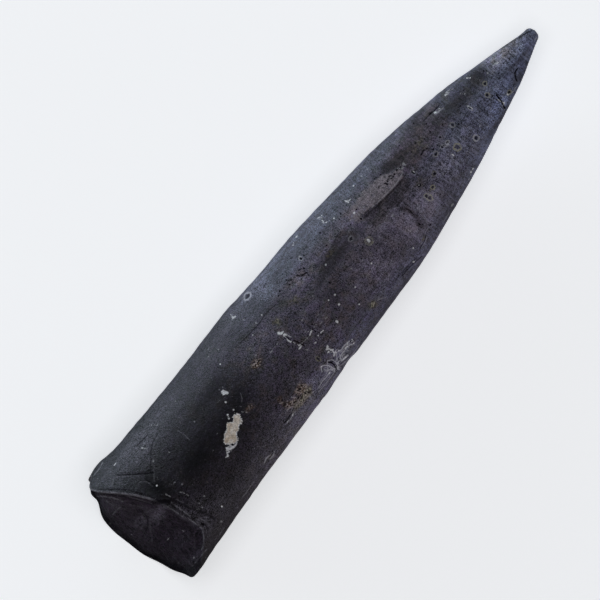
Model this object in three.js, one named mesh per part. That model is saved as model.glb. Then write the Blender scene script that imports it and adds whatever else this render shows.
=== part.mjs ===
// A belemnite guard (rostrum): the solid calcite bullet that a squid-like animal carried in its tail.
// It is one piece. The blunt end is an old oblique break, chipped at its rim; the other end is the apex.
// It lies at rest on its belly: +X towards the apex, +Z up, and z = 0 is the surface that it lies on.
// All lengths are in millimetres. A station is a distance along the guard, from the broken end.
import * as THREE from "three";
import { ParametricGeometry } from "three/addons/geometries/ParametricGeometry.js";
import { mergeVertices } from "three/addons/utils/BufferGeometryUtils.js";

const LENGTH = 90; // broken end to apex
const APEX_ROUNDING = 0.9; // length of the blunt, worn end of the apex
const SIDE_OFFSET = 0.27; // middle of the guard's box, to the +Y side of its axis

// The outline: station, half width on the +Y side, half width on the -Y side, half height.
const OUTLINE = [
  [0, 10.1, 9.95, 8.95],
  [9.5, 9.84, 9.06, 8.7],
  [20, 9.55, 8.6, 8.42],
  [28, 9.64, 8.4, 8.25],
  [33, 9.6, 8.36, 8.1],
  [36, 9.43, 8.1, 8],
  [44, 9.12, 7.89, 7.8],
  [52, 8.71, 7.5, 7.42],
  [60, 7.95, 6.73, 6.78],
  [68, 6.68, 5.61, 5.7],
  [76, 4.95, 4.14, 4.25],
  [80.5, 3.76, 3.2, 3.2],
  [84.5, 2.52, 2.14, 2.2],
  [88, 1.58, 1.1, 1.25],
  [90, 1.2, 0.55, 0.8],
];

// The guard's mass lies over REST_STATION. Its axis dips towards the apex as the lower side tapers,
// and BELLY_WEAR is how much the long, faint flat that it lies on takes off there.
const REST_STATION = 35;
const REST_DIP = 0.0288; // mm down for each mm along, about 1.65 degrees
const BELLY_WEAR = 0.14;

// The break is a height over the cross-section: the station at which the guard ends, at each place
// across the axis and above it.
const BREAK = {
  heart: 3.65, // station of the axis in the broken face
  tilt: 0.415, // it faces upwards: the top edge lies further along than the bottom edge
  lean: -0.09,
  twist: -0.0195,
  bow: -0.02,
};

// Hollows (+) and swellings (-) of the broken face: across, height above the axis, radius, depth.
const BREAK_SCOOPS = [
  [9.4, -2.6, 2.8, 2.7], // the corner knocked off the +Y edge
  [9.6, 1.2, 2.2, 2.7], // the same chip, where it meets the upper side
  [7.2, -6.1, 1.8, 1.2], // a smaller chip below it
  [2.6, -8.4, 2.2, -0.26], // the part of the bottom edge that stands furthest out
  [4.6, 4.2, 2.8, -0.65], // a swelling below the top edge, on the +Y side
  [-0.6, 5.2, 1.5, -0.3], // a crest that runs up from the heart
  [-4.6, 3.2, 3.2, 0.3], // the conchoidal scoop on its -Y side
  [-6.9, 6.0, 1.8, 1.3], // a bite out of the top edge
  [-8.2, -4.8, 3.0, 1.1], // the lower corner of the -Y edge, worn back
  [-5.0, -7.4, 2.6, 0.75], // the wear running on underneath
  [-8.0, 4.2, 1.5, 0.45], // the same bite, where it meets the -Y edge
  [-4.9, 7.0, 1.2, 0.3], // and where it meets the top
];

// Local relief of the sides: station, angle from +Y towards +Z in degrees, half length along,
// half width across, height.
const SIDE_RELIEF = [
  [5.9, 4, 1.8, 2.6, 0.42], // a lip standing proud of the rim
  [33.6, 5, 2.6, 6.0, 0.07], // the last of the outermost layer, which ends in a step
  [38.4, 176, 1.0, 1.5, -0.26], // a nick where the surface is crushed
  [36.9, 143, 0.7, 1.4, -0.3], // the pit in the crushed patch
  [79.3, 206, 0.8, 1.4, -0.16], // a nick near the apex
  [59.8, 102, 2.6, 2.2, -0.09], // where a layer has flaked away
  [73, 42, 1.6, 0.8, -0.14],
  [20, 250, 9, 5, 0.1], // two low swells of the belly
  [52, 300, 10, 4, 0.09],
  [24, 318, 3.2, 3.4, -0.2], // an old chip low on the +Y flank
  [61, 228, 4.5, 2.6, -0.12], // a worn place low on the -Y flank
];

// Shallow scar of a flake that came off the upper -Y side, behind the broken rim, between two angles.
const FLAKE = { length: 1.9, edge: 0.45, depth: 0.26, from: 91, to: 140, blend: 9 };

// Furrow that runs into the apex along the top, from start, and is at its full depth from end on.
const FURROW = { start: 82, end: 85, angle: 86, halfWidth: 0.42, depth: 0.2 };

// Slow swells of the whole side: lobes around, radians for each mm along, phase, height.
const SWELLS = [
  [2, 0.09, 0.9, 0.06],
  [3, -0.16, 1.2, 0.05],
  [5, 0.26, 2.6, 0.03],
  [1, 0.42, 0.4, 0.04],
];
const SLENDER = 4; // half width below which the relief fades with the guard

const AROUND = 64; // faces round the guard; a multiple of 4 puts an edge on the lowest line
const FACE_RINGS = 9; // rings of the broken face
const SIDE_RINGS = 54; // rings from the rim to the apex
const CROWDING = 0.09; // how much closer the rings are at the rim and at the apex
const RIM_STEPS = 12; // repetitions that bring the side and the break together at the rim
const SAME_PLACE = 1e-4; // corners closer together than this are one

const RADIANS = Math.PI / 180;
const bell = (t) => Math.exp(-t * t);

/** 0 before a, 1 after b, and smooth between them. */
const smoothstep = (a, b, x) => THREE.MathUtils.smoothstep(x, a, b);

/** The least turn from one angle to another, in radians. */
const turn = (from, to) => Math.atan2(Math.sin(to - from), Math.cos(to - from));

/** A column of the outline at a station: a cubic between rows, with each row sloped like its neighbours. */
function outlineAt(column, station) {
  const last = OUTLINE.length - 1;
  const row = Math.max(0, OUTLINE.findLastIndex((r, i) => r[0] <= station && i < last));
  const value = (i) => OUTLINE[i][column];
  const slope = (i) => {
    const a = Math.max(i - 1, 0);
    const b = Math.min(i + 1, last);
    return (value(b) - value(a)) / (OUTLINE[b][0] - OUTLINE[a][0]);
  };
  const span = OUTLINE[row + 1][0] - OUTLINE[row][0];
  const t = (station - OUTLINE[row][0]) / span;
  return (
    value(row) * (2 * t ** 3 - 3 * t ** 2 + 1) +
    slope(row) * span * (t ** 3 - 2 * t ** 2 + t) +
    value(row + 1) * (3 * t ** 2 - 2 * t ** 3) +
    slope(row + 1) * span * (t ** 3 - t ** 2)
  );
}

/** The cross-section at a station: its middle across, its half width and its half height. */
function section(station) {
  const left = outlineAt(1, station);
  const right = outlineAt(2, station);
  const past = Math.max(0, station - (LENGTH - APEX_ROUNDING)) / APEX_ROUNDING;
  const rounding = Math.sqrt(Math.max(0, 1 - past * past));
  return {
    middle: (left - right) / 2,
    halfWidth: ((left + right) / 2) * rounding,
    halfHeight: outlineAt(3, station) * rounding,
  };
}

/** Height of the guard's axis over the surface that it lies on. */
function axisHeight(station) {
  return outlineAt(3, REST_STATION) - BELLY_WEAR - REST_DIP * (station - REST_STATION);
}

/** The station at which the guard ends, at a place in its cross-section. */
function breakStation(across, height) {
  const { heart, tilt, lean, twist, bow } = BREAK;
  const plane = heart + tilt * height + lean * across + twist * across * height + bow * across * across;
  return BREAK_SCOOPS.reduce((sum, [y, z, radius, depth]) => {
    return sum + depth * bell(Math.hypot(across - y, height - z) / radius);
  }, plane);
}

/** Height of the relief over the plain side, at a station, an angle and the rim's station there. */
function relief(station, angle, rim) {
  const { halfWidth } = section(station);
  const fade = Math.min(1, halfWidth / SLENDER);
  const arcFrom = (degrees) => turn(degrees * RADIANS, angle) * halfWidth;
  const swells = SWELLS.reduce((sum, [lobes, rate, phase, height]) => {
    return sum + height * Math.sin(lobes * angle + rate * station + phase);
  }, 0);
  const lumps = SIDE_RELIEF.reduce((sum, [at, degrees, along, across, height]) => {
    return sum + height * bell((station - at) / along) * bell(arcFrom(degrees) / across);
  }, 0);
  const { length, edge, depth, from, to, blend } = FLAKE;
  const degrees = angle / RADIANS;
  const past = (edgeAt, spread, x) => smoothstep(edgeAt - spread, edgeAt + spread, x);
  const wide = past(from, blend, degrees) * (1 - past(to, blend, degrees));
  const scar = wide * (1 - past(length, edge, station - rim));
  const furrow = bell(arcFrom(FURROW.angle) / FURROW.halfWidth);
  const furrowDepth = FURROW.depth * smoothstep(FURROW.start, FURROW.end, station);
  return lumps + fade * (swells - furrowDepth * furrow) - depth * scar;
}

/** A point of the side, with its height left above the surface that the guard lies on. */
function sidePoint(station, angle, rim, target) {
  const { middle, halfWidth, halfHeight } = section(station);
  const lift = station < LENGTH ? relief(station, angle, rim) : 0;
  const y = middle + (halfWidth + lift) * Math.cos(angle);
  const z = axisHeight(station) + (halfHeight + lift) * Math.sin(angle);
  return target.set(station, y, Math.max(0, z));
}

/** The rim's station at an angle: the side and the break are brought together by repetition. */
function rimStation(angle) {
  const point = new THREE.Vector3();
  let rim = BREAK.heart;
  for (let i = 0; i < RIM_STEPS; i++) {
    sidePoint(rim, angle, rim, point);
    rim = breakStation(point.y - section(rim).middle, point.z - axisHeight(rim));
  }
  return rim;
}

const rims = Array.from({ length: AROUND + 1 }, (_, i) => rimStation((i / AROUND) * 2 * Math.PI));

/** A point of the broken face: a share of the way from its heart, over the axis, to its rim at an angle. */
function facePoint(share, angle, rim, target) {
  const station = THREE.MathUtils.lerp(BREAK.heart, rim, share);
  const { middle } = section(station);
  sidePoint(rim, angle, rim, target);
  const across = (target.y - section(rim).middle) * share;
  const height = (target.z - axisHeight(rim)) * share;
  return target.set(breakStation(across, height), middle + across, axisHeight(station) + height);
}

/** The whole surface: v runs from the heart of the broken face to its rim, then on to the apex. */
function guardSurface(u, v, target) {
  const angle = u * 2 * Math.PI;
  const rim = rims[Math.round(u * AROUND)];
  const ring = v * (FACE_RINGS + SIDE_RINGS);
  if (ring <= FACE_RINGS) {
    facePoint(ring / FACE_RINGS, angle, rim, target);
    return;
  }
  const t = (ring - FACE_RINGS) / SIDE_RINGS;
  const eased = t - CROWDING * Math.sin(2 * Math.PI * t);
  sidePoint(THREE.MathUtils.lerp(rim, LENGTH, eased), angle, rim, target);
}

/** The surface as one closed body: its seam and its poles are joined, and their empty triangles dropped. */
function closedBody(surface) {
  surface.deleteAttribute("normal");
  surface.deleteAttribute("uv");
  const merged = mergeVertices(surface, SAME_PLACE);
  const corners = Array.from(merged.index.array);
  const kept = [];
  for (let i = 0; i < corners.length; i += 3) {
    const [a, b, c] = corners.slice(i, i + 3);
    if (a !== b && b !== c && c !== a) kept.push(a, b, c);
  }
  merged.setIndex(kept);
  merged.computeVertexNormals();
  return merged;
}

const stone = new THREE.MeshStandardMaterial({ color: 0x2c2c34, roughness: 0.55, metalness: 0 });
const guard = new THREE.Mesh(
  closedBody(new ParametricGeometry(guardSurface, AROUND, FACE_RINGS + SIDE_RINGS)),
  stone,
);
guard.name = "guard";
guard.position.set(-LENGTH / 2, -SIDE_OFFSET, 0);

const belemnite = new THREE.Group();
belemnite.name = "belemnite";
belemnite.add(guard);

export default belemnite;
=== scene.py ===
"""A belemnite guard, dressed for its final look: weathered dark calcite lying on its belly.

Lengths in the tables are in millimetres. A station is a distance along the guard from its broken end,
and an across is a distance from its axis as seen from straight above, + towards +Y. Past the guard's
widest line, across runs on down its flank as an arc length, so that one pair of numbers reaches
every place on the guard.
"""

import math
from types import SimpleNamespace

import bpy
import numpy as np
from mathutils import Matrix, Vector


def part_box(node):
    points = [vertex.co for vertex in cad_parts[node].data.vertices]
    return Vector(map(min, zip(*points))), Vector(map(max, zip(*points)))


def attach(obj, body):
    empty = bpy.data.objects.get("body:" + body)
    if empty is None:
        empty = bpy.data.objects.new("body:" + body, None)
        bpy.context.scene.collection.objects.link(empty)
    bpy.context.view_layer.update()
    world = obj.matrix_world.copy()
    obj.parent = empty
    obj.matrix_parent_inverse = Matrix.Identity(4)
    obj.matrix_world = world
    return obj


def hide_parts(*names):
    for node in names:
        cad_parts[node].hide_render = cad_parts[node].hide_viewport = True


bl_info = {
    "name": "Belemnite fossil",
    "version": (1, 0, 0),
    "blender": (4, 5, 0),
    "location": "3D View > Sidebar > Belemnite",
    "description": "Builds a weathered belemnite guard, its calcite finish and a plain stage",
    "category": "Add Mesh",
}

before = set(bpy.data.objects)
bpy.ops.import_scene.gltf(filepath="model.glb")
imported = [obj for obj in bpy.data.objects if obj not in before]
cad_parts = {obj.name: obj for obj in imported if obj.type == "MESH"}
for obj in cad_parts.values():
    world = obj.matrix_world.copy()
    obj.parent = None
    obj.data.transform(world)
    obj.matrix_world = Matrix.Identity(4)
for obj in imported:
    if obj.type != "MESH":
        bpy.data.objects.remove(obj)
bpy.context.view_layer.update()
MM = 0.001

# ---------------------------------------------------------------------------------------------
# The guard's shape

LENGTH = 90  # broken end to apex
APEX_ROUNDING = 0.6  # length of the blunt, worn end of the apex
SIDE_OFFSET = 0.27  # middle of the guard's box, to the +Y side of its axis
APEX_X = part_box("guard")[1].x / MM  # where the apex is in the frame

# Station, half width on the +Y side, half width on the -Y side, half height.
OUTLINE = (
    (0, 10.1, 9.95, 8.95), (9.5, 9.84, 9.06, 8.7), (20, 9.55, 8.6, 8.42), (28, 9.64, 8.4, 8.25),
    (33, 9.6, 8.36, 8.1), (36, 9.43, 8.1, 8), (44, 9.12, 7.89, 7.8), (52, 8.71, 7.5, 7.42),
    (60, 7.95, 6.73, 6.78), (68, 6.68, 5.61, 5.7), (76, 4.95, 4.14, 4.25), (80.5, 3.76, 3.2, 3.2),
    (84.5, 2.68, 2.18, 2.2), (88, 1.58, 1.1, 1.25), (90, 1.2, 0.55, 0.8),
)
REST_STATION, REST_DIP, BELLY_WEAR = 35, 0.0288, 0.14

# The oblique break: the station at which the guard ends, as a height over the cross-section.
HEART, TILT, LEAN, TWIST, BOW = 3.65, 0.415, -0.09, -0.0195, -0.02
# Across, height above the axis, radius, depth.
BREAK_SCOOPS = (
    (9.4, -2.6, 2.8, 2.7), (9.6, 1.2, 2.2, 2.7), (7.2, -6.1, 1.8, 1.2), (2.6, -8.4, 2.2, -0.26),
    (4.6, 4.2, 2.8, -0.65), (-0.6, 5.2, 1.5, -0.3), (-4.6, 3.2, 3.2, 0.3), (-6.9, 6, 1.8, 1.3),
    (-8.2, -4.8, 3, 1.1), (-5, -7.4, 2.6, 0.75), (-8, 4.2, 1.5, 0.45), (-4.9, 7, 1.2, 0.3),
)
# Station, angle from +Y towards +Z in degrees, half length along, half width across, height.
SIDE_RELIEF = (
    (5.9, 4, 1.8, 2.6, 0.42), (33.6, 5, 2.6, 6, 0.07), (38.4, 176, 1, 1.5, -0.26),
    (36.9, 143, 0.7, 1.4, -0.3), (79.3, 206, 0.8, 1.4, -0.16), (59.8, 102, 2.6, 2.2, -0.09),
    (73, 42, 1.6, 0.8, -0.14), (20, 250, 9, 5, 0.1), (52, 300, 10, 4, 0.09), (24, 318, 3.2, 3.4, -0.2),
    (61, 228, 4.5, 2.6, -0.12),
)
FLAKE_LENGTH, FLAKE_EDGE, FLAKE_DEPTH, FLAKE_FROM, FLAKE_TO, FLAKE_BLEND = 1.9, 0.45, 0.26, 91, 140, 9
FURROW_START, FURROW_END, FURROW_ANGLE, FURROW_HALF_WIDTH, FURROW_DEPTH = 82, 85, 86, 0.42, 0.2
# Lobes around, radians for each mm along, phase, height.
SWELLS = ((2, 0.09, 0.9, 0.06), (3, -0.16, 1.2, 0.05), (5, 0.26, 2.6, 0.03), (1, 0.42, 0.4, 0.04))
SLENDER = 4  # half width below which the relief fades with the guard

AROUND, FACE_RINGS, SIDE_RINGS = 256, 36, 340
FACE_CROWDING, SIDE_CROWDING = 0.3, 0.06  # how far the rings draw together towards the rim, and at both ends
RIM_STEPS = 12

# ---------------------------------------------------------------------------------------------
# Its fine relief

RIM_WEAR_REACH = 0.25
FACE_FADE, SIDE_FADE = 1.2, 0.6  # distances from the rim over which the fine relief comes in
LINE_REACH = 0.16  # of the groove along a crack or a scratch
# Of a boring: height of its lip as a share of its depth, and in shares of its half size the lip's place, the
# lip's reach and the hole's reach.
LIP_HEIGHT, LIP_PLACE, LIP_REACH, HOLE_REACH = 0.35, 1.15, 0.3, 0.75
# Fields of lumps: height, length of the waves, how many waves, seed.
SKIN_LUMPS = ((0.012, 1.6, 40, 3), (0.018, 5, 24, 4))
CRUSHED_LUMPS = (0.05, 0.9, 40, 5)
FACE_LUMPS = ((0.05, 2.2, 32, 10), (0.03, 0.9, 32, 11))
RING_BEND, FIBRE_BEND = (0.35, 7, 16, 8), (2.2, 3, 24, 9)
RING_START = 3  # radius at which the growth rings reach their full height
FIBRES, FIBRE_HEIGHT = 46, 0.006

# ---------------------------------------------------------------------------------------------
# What marks its surface

# fmt: off
# Small round borings: station, across, half length, half width, depth, paleness and rustiness of the rim,
# and darkness of the hole, which is painted shade in it.
BORINGS = (
    (36.8, 8.6, 0.54, 0.34, 0.1, 0.6, 0, 0.75), (45.4, 6, 0.26, 0.26, 0.1, 0.55, 0, 0.9),
    (51.8, 2.35, 0.34, 0.27, 0.07, 0.3, 0, 0.6), (53.1, 0.2, 0.5, 0.48, 0.06, 0.1, 0.45, 0.3),
    (64.35, 1.3, 0.36, 0.38, 0.12, 0.12, 0, 1), (63.35, -0.45, 0.4, 0.36, 0.12, 0, 0.15, 1),
    (62.9, -2.75, 0.34, 0.36, 0.08, 0.6, 0.7, 0.5), (62.8, -2.1, 0.28, 0.24, 0.08, 0.5, 0.7, 0.7),
    (64.3, -2.1, 0.26, 0.28, 0.06, 0.2, 0.8, 0.7), (65.9, -1.1, 0.34, 0.3, 0.12, 0, 0.3, 1),
    (69.4, 0.35, 0.2, 0.26, 0.08, 0.5, 0, 0.9), (70.4, 0.2, 0.28, 0.2, 0.08, 0.6, 0, 0.9),
    (68.1, 0.45, 0.34, 0.3, 0.05, 0.3, 0.2, 0.4), (69.2, 1, 0.2, 0.2, 0.05, 0.1, 0, 0.8),
    (70.3, 1.4, 0.22, 0.2, 0.08, 0.1, 0, 1), (70.7, -1.3, 0.44, 0.44, 0.07, 0.35, 1, 0.45),
    (72.7, 1.15, 0.32, 0.3, 0.05, 0.25, 0.25, 0.5), (72.1, -0.9, 0.18, 0.26, 0.05, 0.2, 0, 0.5),
    (73.3, -2.5, 0.36, 0.36, 0.1, 0.7, 0.1, 0.65), (71, -2.9, 0.2, 0.18, 0.05, 0.2, 0.1, 0.4),
    (76, 0.7, 0.17, 0.4, 0.07, 0.55, 0, 0.8), (78.9, -0.1, 0.28, 0.32, 0.12, 0.35, 0.5, 0.8),
    (79.9, 1.2, 0.28, 0.28, 0.05, 0.2, 0.6, 0.8), (81.1, -2.2, 0.28, 0.24, 0.1, 0.1, 0.7, 0.9),
    (81.8, 0, 0.14, 0.14, 0.06, 0, 0, 0.8), (83.7, 0.95, 0.2, 0.2, 0.06, 0.3, 0, 0.8),
    (84.6, 0.05, 0.13, 0.13, 0.06, 0, 0, 0.8), (43.7, 4.5, 0.25, 0.3, 0.08, 0, 0, 0.8),
    (36.1, -4.35, 0.24, 0.4, 0.1, 0, 0.7, 0.5), (33, 1.45, 0.26, 0.24, 0.05, 0.15, 0, 0.3),
    (48.2, -10.4, 0.5, 0.46, 0.1, 0.6, 0, 0.8), (59.5, -9.1, 0.42, 0.4, 0.1, 0.3, 0.5, 0.8),
    (69.5, -7.6, 0.45, 0.4, 0.1, 0.2, 0.8, 0.8), (27, -12.8, 0.5, 0.5, 0.1, 0.5, 0.2, 0.8),
    (67, 9.6, 0.42, 0.4, 0.1, 0.7, 0, 0.8), (55.6, 11.9, 0.45, 0.4, 0.1, 0.3, 0.6, 0.8),
    (74, 7.2, 0.4, 0.4, 0.1, 0.2, 0.8, 0.8), (43, 13.6, 0.5, 0.5, 0.1, 0.5, 0.4, 0.8),
    (31.5, 14.2, 0.4, 0.5, 0.1, 0.5, 0, 0.8),
)
# Small dark pits, partly painted shade in them: station, across, and in hundredths of a millimetre half
# length and half width.
PITS = (
    (45.4, 6.05, 13, 13), (46, 5.9, 10, 10), (46.7, 6.45, 10, 10), (41.85, 5.75, 14, 12),
    (41.6, 5, 12, 12), (40.15, 5.6, 12, 12), (39.5, 5.3, 10, 12), (44.05, 5.2, 16, 10),
    (43.8, 4.4, 30, 12), (44.4, 4.15, 12, 14), (44.6, 4.9, 12, 22), (44.3, 3.75, 10, 10),
    (43.3, 4.9, 12, 10), (42.3, 5.2, 12, 10), (42.2, 6.7, 10, 10), (45.25, 0.9, 14, 16),
    (49, 4.35, 15, 13), (49.8, 6.1, 14, 12), (48.6, 6.15, 10, 10), (53.6, 5.5, 12, 12),
    (52.9, 5.2, 10, 10), (51.7, 5.2, 10, 10), (54.8, 2.95, 16, 14), (53.3, 3.6, 12, 10),
    (55.4, 4.2, 14, 12), (60.2, 4.9, 14, 10), (61.2, 4.6, 12, 10), (61.75, 3.5, 16, 12),
    (62.4, 3.1, 20, 14), (60.7, 3.1, 16, 20), (61.7, 3.1, 12, 10), (63.8, 3, 14, 20), (59.7, 3.7, 10, 12),
    (69.6, 5.5, 12, 12), (70.6, 4.05, 12, 12), (70.05, 2.95, 14, 12), (65.9, 5.1, 12, 10),
    (72, 4.6, 30, 12), (68.5, 1.15, 16, 10), (59.2, -3.9, 12, 22), (59, -1.2, 14, 10), (60, -5.1, 22, 10),
    (62.7, -2.3, 12, 10), (53.1, -2.5, 12, 10), (38.8, -1.7, 12, 12), (39.3, -0.8, 10, 12),
    (38.8, -3.9, 12, 10), (42.1, -2.8, 10, 10), (39.7, 7.7, 10, 10), (44.6, 7.1, 10, 10),
    (40, 1.8, 12, 10), (58.2, 1, 14, 10), (56.6, 5.2, 14, 10), (26.6, -6.15, 30, 10),
    (27.5, -6.08, 28, 9), (19.4, -2.2, 9, 14), (19.68, -2.52, 10, 12), (8.5, -6.2, 16, 30),
    (61.3, 3.3, 10, 14), (60.6, 3.35, 10, 18), (63.1, 3.2, 12, 10), (66.9, 1.95, 22, 12),
    (67.35, 2.1, 12, 10), (67.95, 1.85, 14, 14), (68.1, 0.4, 20, 16), (69.3, -0.6, 10, 10),
    (74.6, 1.3, 12, 10), (75.4, 1.9, 14, 10), (73.3, 0.6, 14, 12), (71.9, 2.2, 12, 10),
    (77.4, 2.9, 14, 8), (81.2, 2.4, 12, 10), (82.2, 0.6, 14, 10), (85.4, 1.4, 12, 8), (86.6, 0.3, 14, 8),
    (66.3, 3.2, 12, 12), (67.6, 3.6, 12, 10), (68.8, 3, 10, 12), (31.35, -4.9, 16, 13),
    (30.3, -5.55, 14, 12), (30.75, -5.5, 10, 10), (31.3, -5.95, 14, 12), (31.85, -6.3, 12, 12),
    (29.5, -5.5, 16, 12), (28.35, -5.05, 12, 12), (28.6, -3.95, 14, 8),
)
# Chips that show chalky white, with the same columns.
CHIPS = (
    (24.45, 3, 26, 30), (24.7, 2.6, 22, 26), (24.2, 2.7, 12, 14), (23.6, 1.9, 13, 13),
    (23.45, 0.4, 12, 12), (22.4, 0.6, 12, 12), (22.1, 0.15, 13, 12), (18.75, -2.3, 24, 30),
    (19.05, -2.65, 30, 14), (19.65, -2.85, 34, 14), (19.35, -2.45, 12, 16), (18, -2.95, 17, 15),
    (18.25, -2.6, 10, 14), (17.7, -2.85, 8, 8), (43.7, -1.95, 17, 13), (44.4, -0.7, 14, 12),
    (43.28, -0.47, 11, 11), (41.7, -3.2, 16, 22), (12.05, -6.55, 13, 12), (8.8, 2.2, 13, 12),
    (11.55, 6.95, 10, 10), (7.5, 8.42, 30, 6), (33.3, 8.4, 14, 12), (33.55, 8.15, 14, 9),
    (33.1, 8.2, 9, 10), (33.4, 8.8, 10, 5), (36, 5.5, 10, 9), (33.1, 4.7, 9, 7), (35.5, 2.05, 20, 22),
    (35.75, 1.7, 22, 16), (35.7, 1.35, 14, 14), (36, 1.75, 14, 12), (36, 1.1, 10, 20), (36.1, 0.4, 7, 22),
    (35.65, 0.85, 7, 20), (35.5, 0.35, 9, 24), (35.6, 0.03, 16, 10), (35.65, -1.45, 24, 11),
    (35.9, -1.2, 8, 26), (35.9, -1.5, 14, 10), (38, -1.4, 14, 9), (38.38, -1.25, 12, 13),
    (37.6, -2.65, 15, 10), (38.62, -2.36, 12, 9), (39.15, -2.36, 12, 9), (39.5, -2.45, 15, 8),
    (37.9, -4.45, 20, 10), (38.25, -4.25, 12, 12), (38.1, -4.7, 13, 16), (37.6, -4.9, 13, 8),
    (38.15, -5.1, 14, 16), (38.3, -5.2, 14, 8), (38.1, -5.55, 12, 16), (35.5, -6.82, 13, 10),
    (37.75, -5.85, 14, 10), (39.6, -6.4, 16, 10), (27.2, 5.75, 11, 11), (46.2, 8, 11, 8),
    (47.4, 8.35, 26, 6), (51.2, 7.6, 10, 8), (51.8, 7.4, 9, 7), (51.3, 6.9, 8, 9), (51.15, 6.6, 6, 8),
    (51.5, 6.35, 15, 8), (51.2, 6.35, 9, 6), (52.55, 5.85, 12, 10), (55.4, 6.05, 10, 16),
    (55.5, 5.75, 9, 15), (56, 5.7, 6, 5), (57.7, 6.5, 12, 8), (54.85, 4.15, 14, 14),
    (50.9, -1.98, 13, 11), (46.85, 2.83, 13, 12), (46.95, -2.25, 12, 11), (45.45, -4.1, 11, 10),
    (53.1, 0.35, 18, 22), (53.05, 0.1, 22, 10), (56.1, -5.2, 12, 10), (54.65, -6.42, 14, 12),
    (64.35, 1.3, 7, 20), (63.35, -0.42, 9, 8), (69.2, -4.9, 10, 10), (69.75, -4.8, 14, 8),
    (69.5, -1.5, 9, 20), (72.5, 4.1, 12, 26), (72.75, 4, 8, 16), (73, 4.05, 7, 14), (73.3, 4, 7, 12),
    (75.3, 4.35, 11, 9), (75.7, 4.5, 16, 6), (79, 3.5, 10, 10), (79.3, 3.2, 12, 6), (76.05, 1.05, 6, 12),
    (76.15, 0.5, 7, 20), (79.15, -2.7, 15, 8), (79.35, -1.9, 6, 40), (79.5, -2.5, 12, 16),
    (80.7, -2.2, 10, 16), (83.2, 1.6, 12, 10), (52, -9.6, 30, 24), (33, 12.3, 30, 20), (66, -11, 30, 30),
    (40, -11.4, 20, 16), (58, 12.4, 20, 24), (26.7, -6.4, 12, 5), (27.95, -6.33, 16, 6),
    (20.2, -2.75, 10, 8), (18.55, -2.75, 12, 10), (39.85, -6.45, 18, 9), (38.75, -5.85, 10, 10),
    (40.3, -6.1, 10, 8), (41.05, -6.3, 9, 10), (40.8, -6.8, 12, 8), (38.6, -7.2, 16, 10),
    (38.2, -7.1, 14, 8), (35.55, -5.42, 12, 9),
)
# Fainter chips. The rows at (0.45, 3.95), (81.4, -2.5), (82.1, -2.45) and (89.2, -0.45) are painted glints
# along the guard's edges.
GRAZES = (
    (11.1, 4.65, 12, 16), (3.9, -3.6, 24, 8), (6.1, -4.5, 8, 20), (10.4, -7.75, 13, 14),
    (8.65, 0.4, 10, 18), (8.75, -0.1, 8, 16), (10.1, -0.9, 10, 9), (10.3, -1.4, 8, 14), (10.4, -2, 9, 10),
    (34.65, 5.4, 10, 16), (37.1, -1.35, 9, 10), (37.95, -0.66, 14, 8), (39.2, -1.2, 7, 16),
    (39.6, -1.2, 7, 16), (36.15, -2.4, 12, 8), (40.85, -0.6, 16, 7), (40.3, -1.6, 14, 7),
    (41.3, -1.75, 12, 9), (38.9, 0.65, 12, 10), (48.6, -0.25, 8, 12), (64.1, -5.75, 30, 12),
    (67.4, -1.9, 10, 9), (70.2, -0.1, 20, 14), (69.7, 0.1, 12, 10), (70.5, 0.3, 10, 14),
    (66.9, 6.5, 14, 7), (75.7, 4.2, 18, 8), (76.2, 4.4, 16, 6), (76.6, 4.15, 20, 5), (76.8, 2.95, 20, 5),
    (77.1, 2.5, 16, 10), (82.8, 1.85, 30, 7), (83.7, 1.5, 30, 6), (81.3, 1.8, 14, 12),
    (83.5, -1.3, 20, 6), (61.9, 3.2, 14, 7), (45.5, 6.35, 16, 7), (11.9, 6.4, 12, 8), (14.8, 7.9, 14, 7),
    (15.3, 7.3, 12, 8), (13.4, 3.7, 8, 14), (9.65, -4.3, 10, 10), (10.3, -4.6, 12, 10),
    (10.5, -3.9, 10, 10), (11.7, -3.8, 12, 10), (4.1, -7.95, 14, 12), (19.4, 7.4, 14, 7),
    (27, 7.7, 14, 8), (28.6, 7.2, 12, 8), (23.95, -0.7, 8, 14), (24.25, -1.2, 10, 14), (31.2, 2.6, 12, 8),
    (32.9, 1.3, 24, 10), (34.2, 1.3, 16, 8), (42.4, 1.6, 12, 8), (74.9, -1.9, 12, 8), (75.6, -2.8, 12, 8),
    (77.6, -1.6, 12, 8), (57.75, -0.15, 20, 10), (57.7, -3.45, 12, 10), (59.43, 6.45, 13, 11),
    (60.66, 6.44, 12, 10), (64.3, 3.1, 18, 14), (64.35, 2.75, 12, 10), (63.7, 2.8, 12, 16),
    (0.45, 3.95, 10, 12), (73, 3.75, 36, 8), (73.6, 3.6, 30, 5), (81.4, -2.5, 30, 7),
    (82.1, -2.45, 20, 8), (89.2, -0.45, 30, 7), (36.4, -1.25, 16, 8), (68.3, -5.3, 16, 8),
    (27.4, -6.45, 20, 5), (33.95, 7, 10, 12),
)
GRAZE_STRENGTH = 0.3
# The largest chip, which shows cream limestone: its edge, station and across.
CREAM_CHIP = (
    (19.05, -1.75), (19.15, -1.3), (19.5, -1.02), (19.85, -0.88), (19.95, -0.65), (20.4, -0.62),
    (20.9, -0.45), (21.2, -0.15), (21.6, 0), (21.75, -0.38), (22.1, -0.52), (22.4, -0.45), (22.6, -0.12),
    (23, -0.08), (23.2, 0.05), (23.32, -0.25), (23.5, -0.4), (23.35, -0.85), (23.1, -1.3), (22.8, -1.66),
    (22.4, -1.54), (22, -1.72), (21.6, -1.96), (21.2, -2), (20.95, -2.22), (20.7, -2.6), (20.3, -2.78),
    (20, -2.62), (19.75, -2.5), (19.6, -2.3), (19.35, -2.2), (19.2, -1.95),
)
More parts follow.
